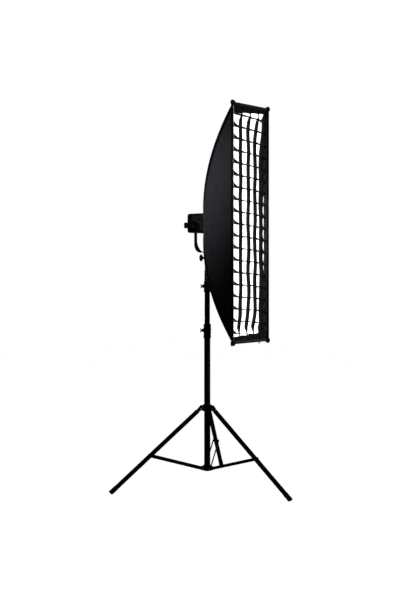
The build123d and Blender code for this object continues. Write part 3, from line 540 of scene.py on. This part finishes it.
INK = moulded("ink", (0.45, 0.45, 0.45), 0.6, 1500.0, 0.00002, 0.0, 0.3)


def dress_frame():
    """Gives every CAD node the material of its slot."""
    for part in frame["record"]["subparts"]:
        shown = frame["nodes"][part["node"]]
        for place in shown.material_slots:
            place.material = MATERIALS[part["material_slot"]]


dress_frame()


# ---- the softbox's fabric --------------------------------------------------------------
# folds of the side panels: height from the box's axis, and how deep each is
FOLD_HEIGHTS = ((0.235, 0.5), (0.105, 0.7), (0.012, 1.0), (-0.010, 0.6), (-0.138, 0.9), (-0.290, 0.7))


def creases(s, z, seed):
    """Depth of the folds that the fabric's tension makes, z from the box's axis."""
    across = (s - RING_S) / (1 - RING_S)
    gathers = 0.0016 * exp(-across / 0.10) * sin(z / 0.0085 + 2.0 * noise_at(z * 30, seed, 0))
    soft = 0.0030 * noise_at(across * 5.0, z * 7.0, seed)
    fine = 0.0005 * noise_at(across * 16.0, z * 26.0, seed + 9)
    lines = 0.0
    for height, weight in FOLD_HEIGHTS:
        drift = 0.02 * across * (1 if height > 0 else -1)
        drift += 0.006 * noise_at(across * 4, height * 50, seed)
        reach = 1 - ease((across - 0.25) / 0.55)
        lines += 0.0040 * weight * reach * hump(z - height - drift, 0.0090)
    fade = ease(across / 0.05)
    return gathers * fade + soft + fine + lines * fade


def side_point(side, s, t):
    """The large side panel: upright lines between two rods, drawn in a little by its tension."""
    across = (s - RING_S) / (1 - RING_S)
    z = HALF_H * s * t
    free = (1 - t ** 8) * sin(pi * min(1.0, across * 1.02)) ** 0.6 if 0 < across < 0.98 else 0.0
    pulled = 0.0055 * sin(pi * across) * (1 - t * t) if 0 < across < 1 else 0.0
    x = half_width(s) - pulled - creases(s, z, side * 3.0) * free
    return Vector((side * x, back_y(s), AXIS_Z + z))


def end_point(side, s, w):
    """The narrow top or bottom panel, hollowed a little between its rods."""
    across = (s - RING_S) / (1 - RING_S)
    free = (1 - w ** 4) * ease(across / 0.08)
    hollow = 0.0028 + 0.6 * creases(s, w * half_width(s) * 2.0, 20 + side)
    sag = hollow * free * (1 - ease((across - 0.86) / 0.13))
    direction = Vector((0, -1, 2 * DEPTH * s / HALF_H)).normalized()      # outward, in the YZ plane
    outward = Vector((0, direction.z, -direction.y))
    place = Vector((w * half_width(s), back_y(s), HALF_H * s)) - outward * sag
    return Vector((place.x, place.y, AXIS_Z + side * place.z))


def side_cover(side, name):
    def point(u, v):
        return side_point(side, RING_S + (1 - RING_S) * (u if side < 0 else 1 - u), 2 * v - 1)
    build = Builder()
    build.sheet(point, 64, 300, CLOTH, 0, 1)
    made = piece(name, build, [MATERIALS["outer_fabric"], LINING])
    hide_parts("side_panel_right" if side > 0 else "side_panel_left")
    return made


def end_cover(side, name):
    def point(u, v):
        return end_point(side, RING_S + (1 - RING_S) * v, (1 - 2 * u) * side)
    build = Builder()
    build.sheet(point, 36, 120, CLOTH, 0, 1)
    made = piece(name, build, [MATERIALS["outer_fabric"], LINING])
    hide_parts("top_panel" if side > 0 else "bottom_panel")
    return made


side_left = side_cover(-1, "side_cover_left")
side_right = side_cover(1, "side_cover_right")
end_top = end_cover(1, "end_cover_top")
end_bottom = end_cover(-1, "end_cover_bottom")


# ---- sewn details of the panels --------------------------------------------------------
def seam_curve(side, end, steps=60):
    """The corner seam between a side panel and an end panel, from the ring to the front."""
    line = []
    for k in range(steps + 1):
        s = RING_S + (1 - RING_S) * k / steps
        line.append(Vector((side * half_width(s), back_y(s), AXIS_Z + end * HALF_H * s)))
    return line


def point_along(path, distance):
    for start, stop in zip(path, path[1:]):
        run = (stop - start).length
        if distance <= run:
            return start + (stop - start) * (distance / run)
        distance -= run
    return path[-1]


def stitches(build, path, pitch=0.0075, length=0.0042, radius=0.00045):
    """A row of single stitches along a path."""
    total = sum((b - a).length for a, b in zip(path, path[1:]))
    for k in range(int(total / pitch)):
        start = point_along(path, k * pitch)
        build.tube([start, point_along(path, k * pitch + length)], radius, 5)


def quarters():
    """The four corners of the box as (side, end)."""
    return [(side, end) for side in (-1, 1) for end in (-1, 1)]


def seam_piping():
    """Covered cord sewn into the four curved seams and along the two long front edges; its pale grey colour
    is a painted highlight.
    """
    build = Builder()
    for side, end in quarters():
        build.tube(seam_curve(side, end), 0.0019, 10)
    for side in (-1, 1):
        x, y = side * (HALF_W + 0.0002), FRONT_Y - 0.0022
        build.tube([(x, y, AXIS_Z - HALF_H + 0.012), (x, y, AXIS_Z + HALF_H - 0.012)], 0.0021, 10)
    piece("seam_piping", build, [PIPING_WITH_PAINTED_HIGHLIGHT])


SEAM_TAPE = 0.022                                   # width of the tape over the curved seams


def tape_drop(s, width):
    """Height of a tape of this width, measured upright on the side panel beside its sloping seam."""
    plan = sqrt(((HALF_W - RING_HALF_W) / (1 - RING_S)) ** 2 + (2 * DEPTH * s) ** 2)
    return min(width * sqrt(plan ** 2 + HALF_H ** 2) / plan, 0.4 * HALF_H * s)


def seam_tape():
    """Binding tape over the side panels' curved edges, with its line of stitches."""
    build, thread = Builder(), Builder()
    for side, end in quarters():
        def point(u, v, side=side, end=end):
            s = RING_S + (1 - RING_S) * (u if side * end < 0 else 1 - u)
            inset = tape_drop(s, SEAM_TAPE * v + 0.0004)
            place = side_point(side, s, end * (1 - inset / (HALF_H * s)))
            return place + Vector((side * 0.0011, 0.0002, 0))
        build.sheet(point, 90, 2, 0.0006)
        line = []
        for k in range(81):
            share = k / 80 if side * end < 0 else 1 - k / 80
            line.append(point(share, 0.85) + Vector((side * 0.0003, 0, 0)))
        stitches(thread, line)
    tape = piece("seam_tape", build, [BINDING])
    piece("seam_stitches", thread, [THREAD])


def edge_frames(start, stop, out, steps=40):
    """Frames along a straight edge of the front, for a sweep."""
    return [(start.lerp(stop, k / steps), out, Vector((0, -1, 0))) for k in range(steps + 1)]


WRAP_OUT, WRAP_IN = 0.018, 0.006                    # legs of the folded tape, outside and inside


def binding_drop(reach, wrap):
    """How far the panel, whose half size is reach(s), has closed in at this depth behind the front."""
    return reach(1) - reach(s_at(FRONT_Y + wrap))


def binding_outline(reach):
    """Section of the folded tape, whose legs follow the panel."""
    outer, inner = binding_drop(reach, WRAP_OUT), binding_drop(reach, WRAP_IN)
    return [(0.0012 - outer, -WRAP_OUT), (0.0014, 0.0002), (0.0004, 0.0012), (-0.0030, 0.0014),
            (-0.0042, 0.0004), (-0.0044 - inner, -WRAP_IN), (-0.0036 - inner, -WRAP_IN), (-0.0034, -0.0004),
            (-0.0024, 0.0), (0.0, -0.0006), (0.0004 - outer, -WRAP_OUT)]


def edge_binding():
    """Tape folded over the front edge, down the long sides and across the ends."""
    for name, along_z in (("side_binding", True), ("end_binding", False)):
        build, thread = Builder(), Builder()
        for side in (-1, 1):
            if along_z:
                start = Vector((side * HALF_W, FRONT_Y, AXIS_Z - HALF_H + 0.002))
                stop = Vector((side * HALF_W, FRONT_Y, AXIS_Z + HALF_H - 0.002))
                out = Vector((side, 0, 0))
                reach = half_width
            else:
                start = Vector((-HALF_W + 0.001, FRONT_Y, AXIS_Z + side * HALF_H))
                stop = Vector((HALF_W - 0.001, FRONT_Y, AXIS_Z + side * HALF_H))
                out = Vector((0, 0, side))
                reach = half_height
            build.sweep(edge_frames(start, stop, out), binding_outline(reach))
            behind = 0.85 * WRAP_OUT
            back = Vector((0, behind, 0)) + out * (0.0014 - binding_drop(reach, behind))
            stitches(thread, [start + back, stop + back], 0.008)
        made = piece(name, build, [BINDING])
        piece(name + "_stitches", thread, [THREAD])
        legs = [Vector((wrap, binding_drop(reach, wrap))).length for wrap in (WRAP_OUT, WRAP_IN)]


def rounded_block(build, middle, half, power=4.0, steps=7, wobble=0.0006, kind=0):
    """A soft-cornered block; a higher power makes it squarer."""
    seen, points, faces = {}, [], []

    def corner(face, i, j):
        a, b = 2 * i / steps - 1, 2 * j / steps - 1
        cube = {0: (1, a, b), 1: (-1, b, a), 2: (b, 1, a), 3: (a, -1, b), 4: (a, b, 1), 5: (b, a, -1)}[face]
        key = tuple(round(c, 5) for c in cube)
        if key not in seen:
            reach = sum(abs(c) ** power for c in cube) ** (-1 / power)
            place = Vector([c * reach * h for c, h in zip(cube, half)])
            place *= 1 + wobble / 0.01 * noise.noise(Vector(middle) * 37 + place * 160)
            seen[key] = len(points)
            points.append(Vector(middle) + place)
        return seen[key]

    for face in range(6):
        for i in range(steps):
            for j in range(steps):
                around = ((i, j), (i + 1, j), (i + 1, j + 1), (i, j + 1))
                faces.append(tuple(corner(face, a, b) for a, b in around))
    build.add(points, [(faces, kind)], [(p.x, p.z) for p in points])


def corner_pockets():
    """Reinforced pockets that hold the rods' ends, with a strap folded over each."""
    low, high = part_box("corner_caps")
    depth = high.y - low.y
    build = Builder()
    for side, end in quarters():
        x, z = side * (high.x - 0.0090), AXIS_Z + end * (high.z - AXIS_Z - 0.0105)
        middle = Vector((x, low.y + depth / 2 - 0.0060, z))
        rounded_block(build, middle, (0.0125, depth / 2 + 0.0020, 0.0140), 3.4)
        for turn in (-1, 1):
            reach = [(-0.0125, -0.4), (-0.005, 0.75), (0.0055, 1.02), (0.0112, 0.72), (0.0140, -0.2)]
            strap = [middle + Vector((side * a, turn * depth * 0.22, end * b * 0.0141)) for a, b in reach]
            build.tube(strap, 0.0030, 8, 1, False, 0.30, (0, 1, 0))
    made = piece("corner_pockets", build, [BINDING, THREAD])
    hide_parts("corner_caps")


def pull_tab():
    """Small webbing loop under the bottom edge, for taking the grid out."""
    build = Builder()
    x, z = 0.081, AXIS_Z - HALF_H
    build.tube([(x - 0.007, FRONT_Y + 0.003, z + 0.003), (x - 0.006, FRONT_Y + 0.002, z - 0.006),
                (x, FRONT_Y + 0.002, z - 0.009), (x + 0.006, FRONT_Y + 0.002, z - 0.006),
                (x + 0.007, FRONT_Y + 0.003, z + 0.003)], 0.0028, 8, 0, False, 0.5)
    piece("pull_tab", build, [BINDING])


# ---- the front: lip, diffuser and grid -------------------------------------------------
def lip_strip(build, front, back, inset, thickness=CLOTH):
    """Four strips along the inside of the panels, from one depth to another."""
    s_front, s_back = s_at(front), s_at(back)
    for side in (-1, 1):
        def upright(u, v, side=side):
            s = s_front + (s_back - s_front) * u
            z = 0.985 * HALF_H * s * (2 * v - 1)
            ripple = 0.0005 * noise_at(z * 22, u, side)
            return Vector((side * (half_width(s) - 0.0028 - inset + ripple), back_y(s), AXIS_Z + z))

        def level(u, v, side=side):
            s = s_front + (s_back - s_front) * u
            x = (half_width(s) - 0.0050 - inset) * (2 * v - 1)
            fall = 0.0034 + inset
            return Vector((x, back_y(s) - fall * 0.7, AXIS_Z + side * (HALF_H * s - fall)))
        build.sheet(upright, 6, 150, thickness)
        build.sheet(level, 6, 30, thickness)


LIP_X = half_width(s_at(GRID_HIGH.y)) - 0.0046      # where the grid meets the lip
LIP_DEPTH, LOOP_FROM, LOOP_WIDTH = 0.042, 0.010, 0.018


def lip():
    """Inner border of the front with its band of loop tape."""
    build, tape = Builder(), Builder()
    back = FRONT_Y + LIP_DEPTH
    lip_strip(build, FRONT_Y + 0.0012, back, 0.0)
    lip_strip(tape, FRONT_Y + LOOP_FROM, FRONT_Y + 0.027, 0.0014, 0.0010)
    cloth = piece("front_lip", build, [MATERIALS["outer_fabric"]])
    loops = piece("loop_band", tape, [LOOP_TAPE])


DIFFUSER_HALF = (0.157, 0.668)                      # half width and half height of the front cloth


def diffuser_point(u, v):
    """The sheet is flat in the middle; its hems curl forward onto the lip, clear of the rods."""
    z = DIFFUSER_HALF[1] * (2 * v - 1)
    reach = DIFFUSER_HALF[0] - 0.0130 * ease((abs(z) - 0.596) / 0.024)
    x = reach * (2 * u - 1)
    soft = 0.0012 * noise_at(x * 9, z * 5, 4) * (1 - (2 * u - 1) ** 4)
    curl = max(0.0180 * ease((abs(x) - 0.144) / 0.013), 0.0245 * ease((abs(z) - 0.618) / 0.050))
    return Vector((x, DIFFUSER_Y + soft - curl, AXIS_Z + z))


def front_diffuser():
    build = Builder()
    build.sheet(lambda u, v: diffuser_point(1 - u, v), 60, 220, 0.0005)
    made = piece("diffuser_cloth", build, [MATERIALS["diffuser_fabric"]])
    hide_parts("front_diffuser")


def inner_baffle():
    """Inner sheet with cut corners, held to the rods by elastic straps."""
    half_x, half_z, cut = BAFFLE_HIGH.x, BAFFLE_HIGH.z - AXIS_Z, 0.014
    y = (BAFFLE_LOW.y + BAFFLE_HIGH.y) / 2

    def point(u, v):
        z = half_z * (2 * v - 1)
        x = (half_x - max(0.0, abs(z) - half_z + cut)) * (1 - 2 * u)
        return Vector((x, y + 0.0015 * noise_at(x * 8, z * 5, 1), AXIS_Z + z))
    build, straps = Builder(), Builder()
    build.sheet(point, 30, 136, 0.0006)
    for side, end in quarters():
        start = Vector((side * (half_x - 0.012), y, AXIS_Z + end * (half_z - 0.012)))
        straps.tube([start, start + Vector((side * 0.008, 0.001, end * 0.008)),
                     start + Vector((side * 0.0125, 0.002, end * 0.0125))],
                    0.004, 8, 0, False, 0.2, (0, 1, 0))
    made = piece("baffle_cloth", build, [MATERIALS["diffuser_fabric"]])
    piece("baffle_straps", straps, [ELASTIC])
    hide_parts("inner_baffle")


COLUMN_HALF = 0.667                                 # half length of an upright strip
HEM_HALF = 0.660
TAB_HEIGHT = 0.674                                  # of the end bands' tabs, from the axis
TAB_SQUARENESS = 6.0


def end_forward(z):
    """How far the grid's back edges come forward near its ends, to clear the lip."""
    return 0.020 * ease((abs(z) - 0.605) / 0.045)


def column_x(column, z):
    """Where an upright strip of the grid is at a height: pulled sideways, and waving from row to row."""
    nominal = GRID_HALF * (2 * column / COLUMNS - 1)
    wave = 0.0026 * sin(pi * z / (2 * ROW_PITCH) + 2.2 * column)
    wave += 0.0040 * noise_at(z * 9, column * 3.1, 0)
    pulled = DRAWN[column] * (1 - ease((z - 0.40) / 0.22))
    if column == COLUMNS:
        pulled -= 0.030 * ease((-0.585 - z) / 0.060)
    elif column > 0:
        pulled += 0.010 * ease((z - 0.54) / 0.09) - 0.026 * ease((-0.50 - z) / 0.15)
    return nominal + pulled + wave * (0.3 if column == 0 else 1.0)


def row_point(row, u, w):
    """A cross strip: u runs from the left border to the lip, w from its front to its back edge."""
    place = u * (COLUMNS + 1)
    cell = min(int(place), COLUMNS)
    t = place - cell
    height = ROW_PITCH * (row - ROWS / 2)
    stops = [column_x(column, height) for column in range(COLUMNS + 1)] + [LIP_X - 0.0018]
    x = stops[cell] + (stops[cell + 1] - stops[cell]) * t
    fall = 1 - (1 - t) ** 2.0 if cell == 0 else t
    slack = 0.0022 + 0.0020 * noise_at(row * 1.7, cell * 2.3, 5)
    drop = HANG[cell] + (HANG[cell + 1] - HANG[cell]) * fall - slack * 4 * t * (1 - t)
    low = ease((0.35 - height) / 0.70)
    twist = (0.015 - 0.006 * low) * exp(-place / 0.7) + 0.0042 * low
    twist += 0.0030 * noise_at(place * 1.3, row * 2.1, 8)
    low_y, high_y = GRID_LOW.y + 0.0012, GRID_BACK
    if cell == COLUMNS:
        high_y -= 0.014 * t
    depth = low_y + (high_y - low_y) * w
    return Vector((x, depth, AXIS_Z + height + drop + twist * (0.5 - w)))


def column_point(column, v, w):
    """An upright strip: v runs from the bottom band to the top band."""
    z = COLUMN_HALF * (2 * v - 1)
    lean = 0.0030 * noise_at(z * 7, column * 5.0, 3)
    back = GRID_BACK - end_forward(z)
    y = GRID_LOW.y + 0.0012 + (back - GRID_LOW.y - 0.0012) * w
    return Vector((column_x(column, z) + lean * (w - 0.5), y, AXIS_Z + z))


def band_edge(end, u):
    """Inner edge of a plain end band, arched between the upright strips."""
    slope = 0.637 + 0.0276 * u if end > 0 else 0.6574 - 0.0134 * u
    arch = sin(pi * ((u * COLUMNS) % 1.0)) ** 0.7
    return end * (slope + 0.0055 * arch - 0.002)


def grid_strips():
    """Cross strips and upright strips, which run through each other."""
    build = Builder()
    for row in range(ROWS + 1):
        build.sheet(lambda u, v, row=row: row_point(row, u, v), 70, 3, STRIP)
    for column in range(COLUMNS + 1):
        build.sheet(lambda u, v, column=column: column_point(column, v, u), 3, 260, STRIP)
    made = piece("grid_strips", build, [MATERIALS["grid_fabric"]])
    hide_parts("grid")
    return made


def side_hem():
    """Cloth between the right border strip and the lip, pulled open between some of the rows."""
    build = Builder()

    def point(u, v):
        z = HEM_HALF * (2 * v - 1)
        opened = ease((z + 0.32) / 0.10) * ease((0.22 - z) / 0.10)
        lens = abs(sin(pi * (z - HANG[4]) / ROW_PITCH)) ** 0.6
        near, far = column_x(COLUMNS, z) + 0.0008, LIP_X - 0.0005 - 0.011 * opened * lens
        x = near + (far - near) * u
        return Vector((x, GRID_BACK - 0.001 - end_forward(z) - 0.012 * u, AXIS_Z + z))
    build.sheet(point, 6, 320, 0.0006)
    made = piece("side_hem", build, [MATERIALS["grid_fabric"]])


def grid_bands():
    """Plain cloth bands that close the grid's top and bottom, with stitched tabs."""
    build, tabs, thread = Builder(), Builder(), Builder()
    y = GRID_LOW.y
    for end in (-1, 1):
        def point(u, v, end=end):
            inner, outer = band_edge(end, u), end * (HALF_H - 0.0095)
            x = (LIP_X + 0.0045) * (2 * u - 1)
            depth = y - 0.0055 * v * v + 0.0006 * noise_at(x * 40, v * 3, end)
            return Vector((x, depth, AXIS_Z + inner + (outer - inner) * v))
        build.sheet(lambda u, v, end=end: point(u if end > 0 else 1 - u, v), 96, 8, CLOTH)
        for column in range(COLUMNS + 1):
            x = column_x(column, end * 0.66) * 0.98
            z = AXIS_Z + end * TAB_HEIGHT
            rounded_block(tabs, (x, y - 0.0035, z), (0.0085, 0.0014, 0.0085), TAB_SQUARENESS, 4, 0.0)
            for turn in (-1, 1):
                stitches(thread, [Vector((x - 0.006, y - 0.0051, z - 0.006 * turn)),
                                  Vector((x + 0.006, y - 0.0051, z + 0.006 * turn))], 0.004, 0.0026)
        for offset in (0.005, 0.009):
            line = [Vector(((LIP_X + 0.0020) * (2 * k / 60 - 1), y - 0.0009,
                            AXIS_Z + band_edge(end, k / 60) + end * offset)) for k in range(61)]
            stitches(thread, line, 0.006, 0.0034)
    for row in range(1, ROWS + 1):
        middle = (LIP_X + 0.0012, y + 0.012, row_point(row, 1.0, 0.2).z)
        rounded_block(tabs, middle, (0.0012, 0.009, 0.0085), TAB_SQUARENESS, 4, 0.0)
    made = piece("grid_bands", build, [MATERIALS["grid_fabric"]])
    piece("grid_tabs", tabs, [BINDING])
    piece("grid_stitches", thread, [THREAD])
    return made


def grid():
    strips, bands = grid_strips(), grid_bands()
    side_hem()


# ---- the ring's cuff -------------------------------------------------------------------
def ring_cuff():
    """Gathered cloth between the speed ring and the panels' rear edges.

    Its hole is smaller than the lamp's bayonet ring, so it clips that by up to 1.5 mm all round.
    """
    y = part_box("ring_skirt")[1].y + 0.0006
    half_x, half_z = RING_HALF_W + 0.0006, half_height(RING_S) + 0.0006
    rise = back_y(RING_S) - 0.0004 - y
    inner = RING_R - 0.0025
    frames = []
    for k in range(144):
        angle = tau * k / 144
        way = Vector((cos(angle), 0, sin(angle)))
        reach = min(half_x / max(1e-6, abs(way.x)), half_z / max(1e-6, abs(way.z)))
        pleat = 0.0004 * sin(angle * 36)
        start = Vector((0, y + pleat, AXIS_Z)) + way * inner
        frames.append((start, way * (reach - inner) + Vector((0, rise, 0)), Vector((0, 1, 0))))
    build = Builder()
    section = [(0, -0.0008), (0.5, -0.0006), (1, -0.0008), (1, 0.0004), (0.5, 0.0006), (0, 0.0004)]
    build.sweep(frames, section, 0, True)
    made = piece("ring_cuff", build, [MATERIALS["outer_fabric"]])
    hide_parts("ring_skirt")


seam_piping()
seam_tape()
edge_binding()
corner_pockets()
pull_tab()
lip()
front_diffuser()
inner_baffle()
grid()
ring_cuff()


# ---- small fittings on the lamp and the stand ------------------------------------------
def lamp_details():
    """Screws, side trims, display bars, and the mark of the dial."""
    rear = COVER_HIGH.y
    screws, trim, marks = Builder(), Builder(), Builder()
    for x in (COVER_LOW.x + 0.011, COVER_HIGH.x - 0.011):
        for z in (COVER_LOW.z + 0.011, COVER_HIGH.z - 0.011):
            screws.tube([(x, rear - 0.0010, z), (x, rear + 0.0008, z)], 0.0030, 20)
            for way in ((1, 0), (0, 1)):
                screws.tube([(x - 0.0018 * way[0], rear + 0.0009, z - 0.0018 * way[1]),
                             (x + 0.0018 * way[0], rear + 0.0009, z + 0.0018 * way[1])], 0.0004, 6, 1)
    for side in (-1, 1):
        x = side * LAMP_HIGH.x
        rounded_block(trim, (x, (LAMP_LOW.y + LAMP_HIGH.y) / 2, LAMP_HIGH.z - 0.012),
                      (0.0008, (LAMP_HIGH.y - LAMP_LOW.y) / 2 - 0.007, 0.0040), 8.0, 6, 0.0)
        rounded_block(trim, (x, LAMP_LOW.y + 0.0205, LAMP_LOW.z + 0.049),
                      (0.0009, 0.0055, 0.041), 8.0, 6, 0.0)
    low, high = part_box("display_window")
    for k, share in enumerate((0.9, 0.65, 0.4)):
        z = high.z - 0.007 - 0.0065 * k
        marks.tube([(low.x + 0.006, high.y + 0.0001, z), (low.x + 0.006 + 0.036 * share, high.y + 0.0001, z)],
                   0.0011, 6, 0, False, 0.3, (0, 1, 0))
    dial_low, dial_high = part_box("dimmer_dial")
    middle = (dial_low + dial_high) / 2
    pointer = Builder()
    line = [(middle.x, dial_high.y + 0.0001, middle.z + rise) for rise in (0.004, 0.011)]
    pointer.tube(line, 0.0008, 6, 0, False, 0.4, (0, 1, 0))
    piece("cover_screws", screws, [MATERIALS["hardware"], MATERIALS["lamp_plastic"]], "lamp")
    piece("side_trim", trim, [MATERIALS["lamp_plastic"]], "lamp")
    piece("display_bars", marks, [INK], "lamp")
    piece("dial_pointer", pointer, [INK], "dial")


def collar_bolts():
    """Cross bolts that close the slot of each lock collar."""
    collars = (("lower_lock_collar", "column", 0.0235), ("upper_lock_collar", "mid_section", 0.0214))
    for name, body, radius in collars:
        low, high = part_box(name)
        build = Builder()
        way = Vector((cos(radians(318)), sin(radians(318)), 0))
        across = Vector((-way.y, way.x, 0))
        for share in (0.42, 0.62):
            z = low.z + (high.z - low.z) * share
            centre = way * (radius - 0.002) + Vector((0, 0, z))
            build.tube([centre - across * 0.009, centre + across * 0.009], 0.0016, 10)
            build.tube([centre + across * 0.0075, centre + across * 0.0105], 0.0030, 6)
            build.tube([centre - across * 0.0105, centre - across * 0.0078], 0.0030, 6)
        made = piece(name + "_bolts", build, [MATERIALS["hardware"]], body)
        sharp_edges(made)


lamp_details()
collar_bolts()


# ---- studio ----------------------------------------------------------------------------
def seen_level(tree, lighting, seen):
    """One strength for the light that the stage throws, another for how bright it looks itself."""
    path = node(tree, "LightPath").outputs["Is Camera Ray"]
    return spread(tree, path, lighting, seen, 0.0, 1.0)


def studio():
    """Pale floor, white surroundings and large soft lights."""
    size = 9.0
    mesh = bpy.data.meshes.new("floor")
    corners = [(-size, -size, 0), (size, -size, 0), (size, size, 0), (-size, size, 0)]
    mesh.from_pydata(corners, [], [(0, 1, 2, 3)])
    floor = new_object("floor", mesh)
    material, tree, shader = new_material("floor_paper", Roughness=0.95, Specular_IOR_Level=0.0)
    shader.inputs["Base Color"].default_value = (0.82, 0.82, 0.82, 1)
    shader.inputs["Emission Color"].default_value = (1, 1, 1, 1)
    feed(shader, "Emission Strength", seen_level(tree, 0.006, 0.99))
    mesh.materials.append(material)

    world = bpy.data.worlds.new("studio")
    bpy.context.scene.world = world
    world.use_nodes = True
    tree = world.node_tree
    background = tree.nodes["Background"]
    tree.links.new(seen_level(tree, 0.007, 1.0), background.inputs["Strength"])
    background.inputs["Color"].default_value = (1, 1, 1, 1)

    def area(name, place, target, size, power, beam=180):
        lamp = bpy.data.lights.new(name, "AREA")
        lamp.shape = "SQUARE"
        lamp.size = size
        lamp.energy = power
        lamp.spread = radians(beam)
        made = new_object(name, lamp)
        made.location = place
        made.rotation_euler = (Vector(target) - Vector(place)).to_track_quat("-Z", "Y").to_euler()

    area("key", (-2.6, -0.8, 4.3), (-0.1, -0.1, 1.80), 0.4, 0.92, 11)
    area("front", (0.5, -4.6, 1.9), (0, -0.3, 1.45), 1.0, 8.0, 42)
    area("fill", (-2.6, -3.4, 2.2), (0, 0, 1.6), 2.0, 0.25)
    area("back", (-1.0, 3.6, 2.8), (0, 0, 1.2), 2.4, 1.2)
    area("top", (0.0, 0.0, 4.6), (0, 0, 0), 3.0, 1.5)


def camera():
    """The viewing angle: level, from the box's left front."""
    data = bpy.data.cameras.new("camera")
    data.sensor_width = 36.0
    data.lens = 57.15
    data.shift_y = -0.0583
    made = new_object("camera", data)
    made.location = (-4.389, -3.8906, 1.3535)
    made.rotation_euler = (radians(90), 0, atan2(0.6686, 0.7436) - radians(90))
    bpy.context.scene.camera = made


studio()
camera()
bpy.context.scene.view_settings.view_transform = "Standard"
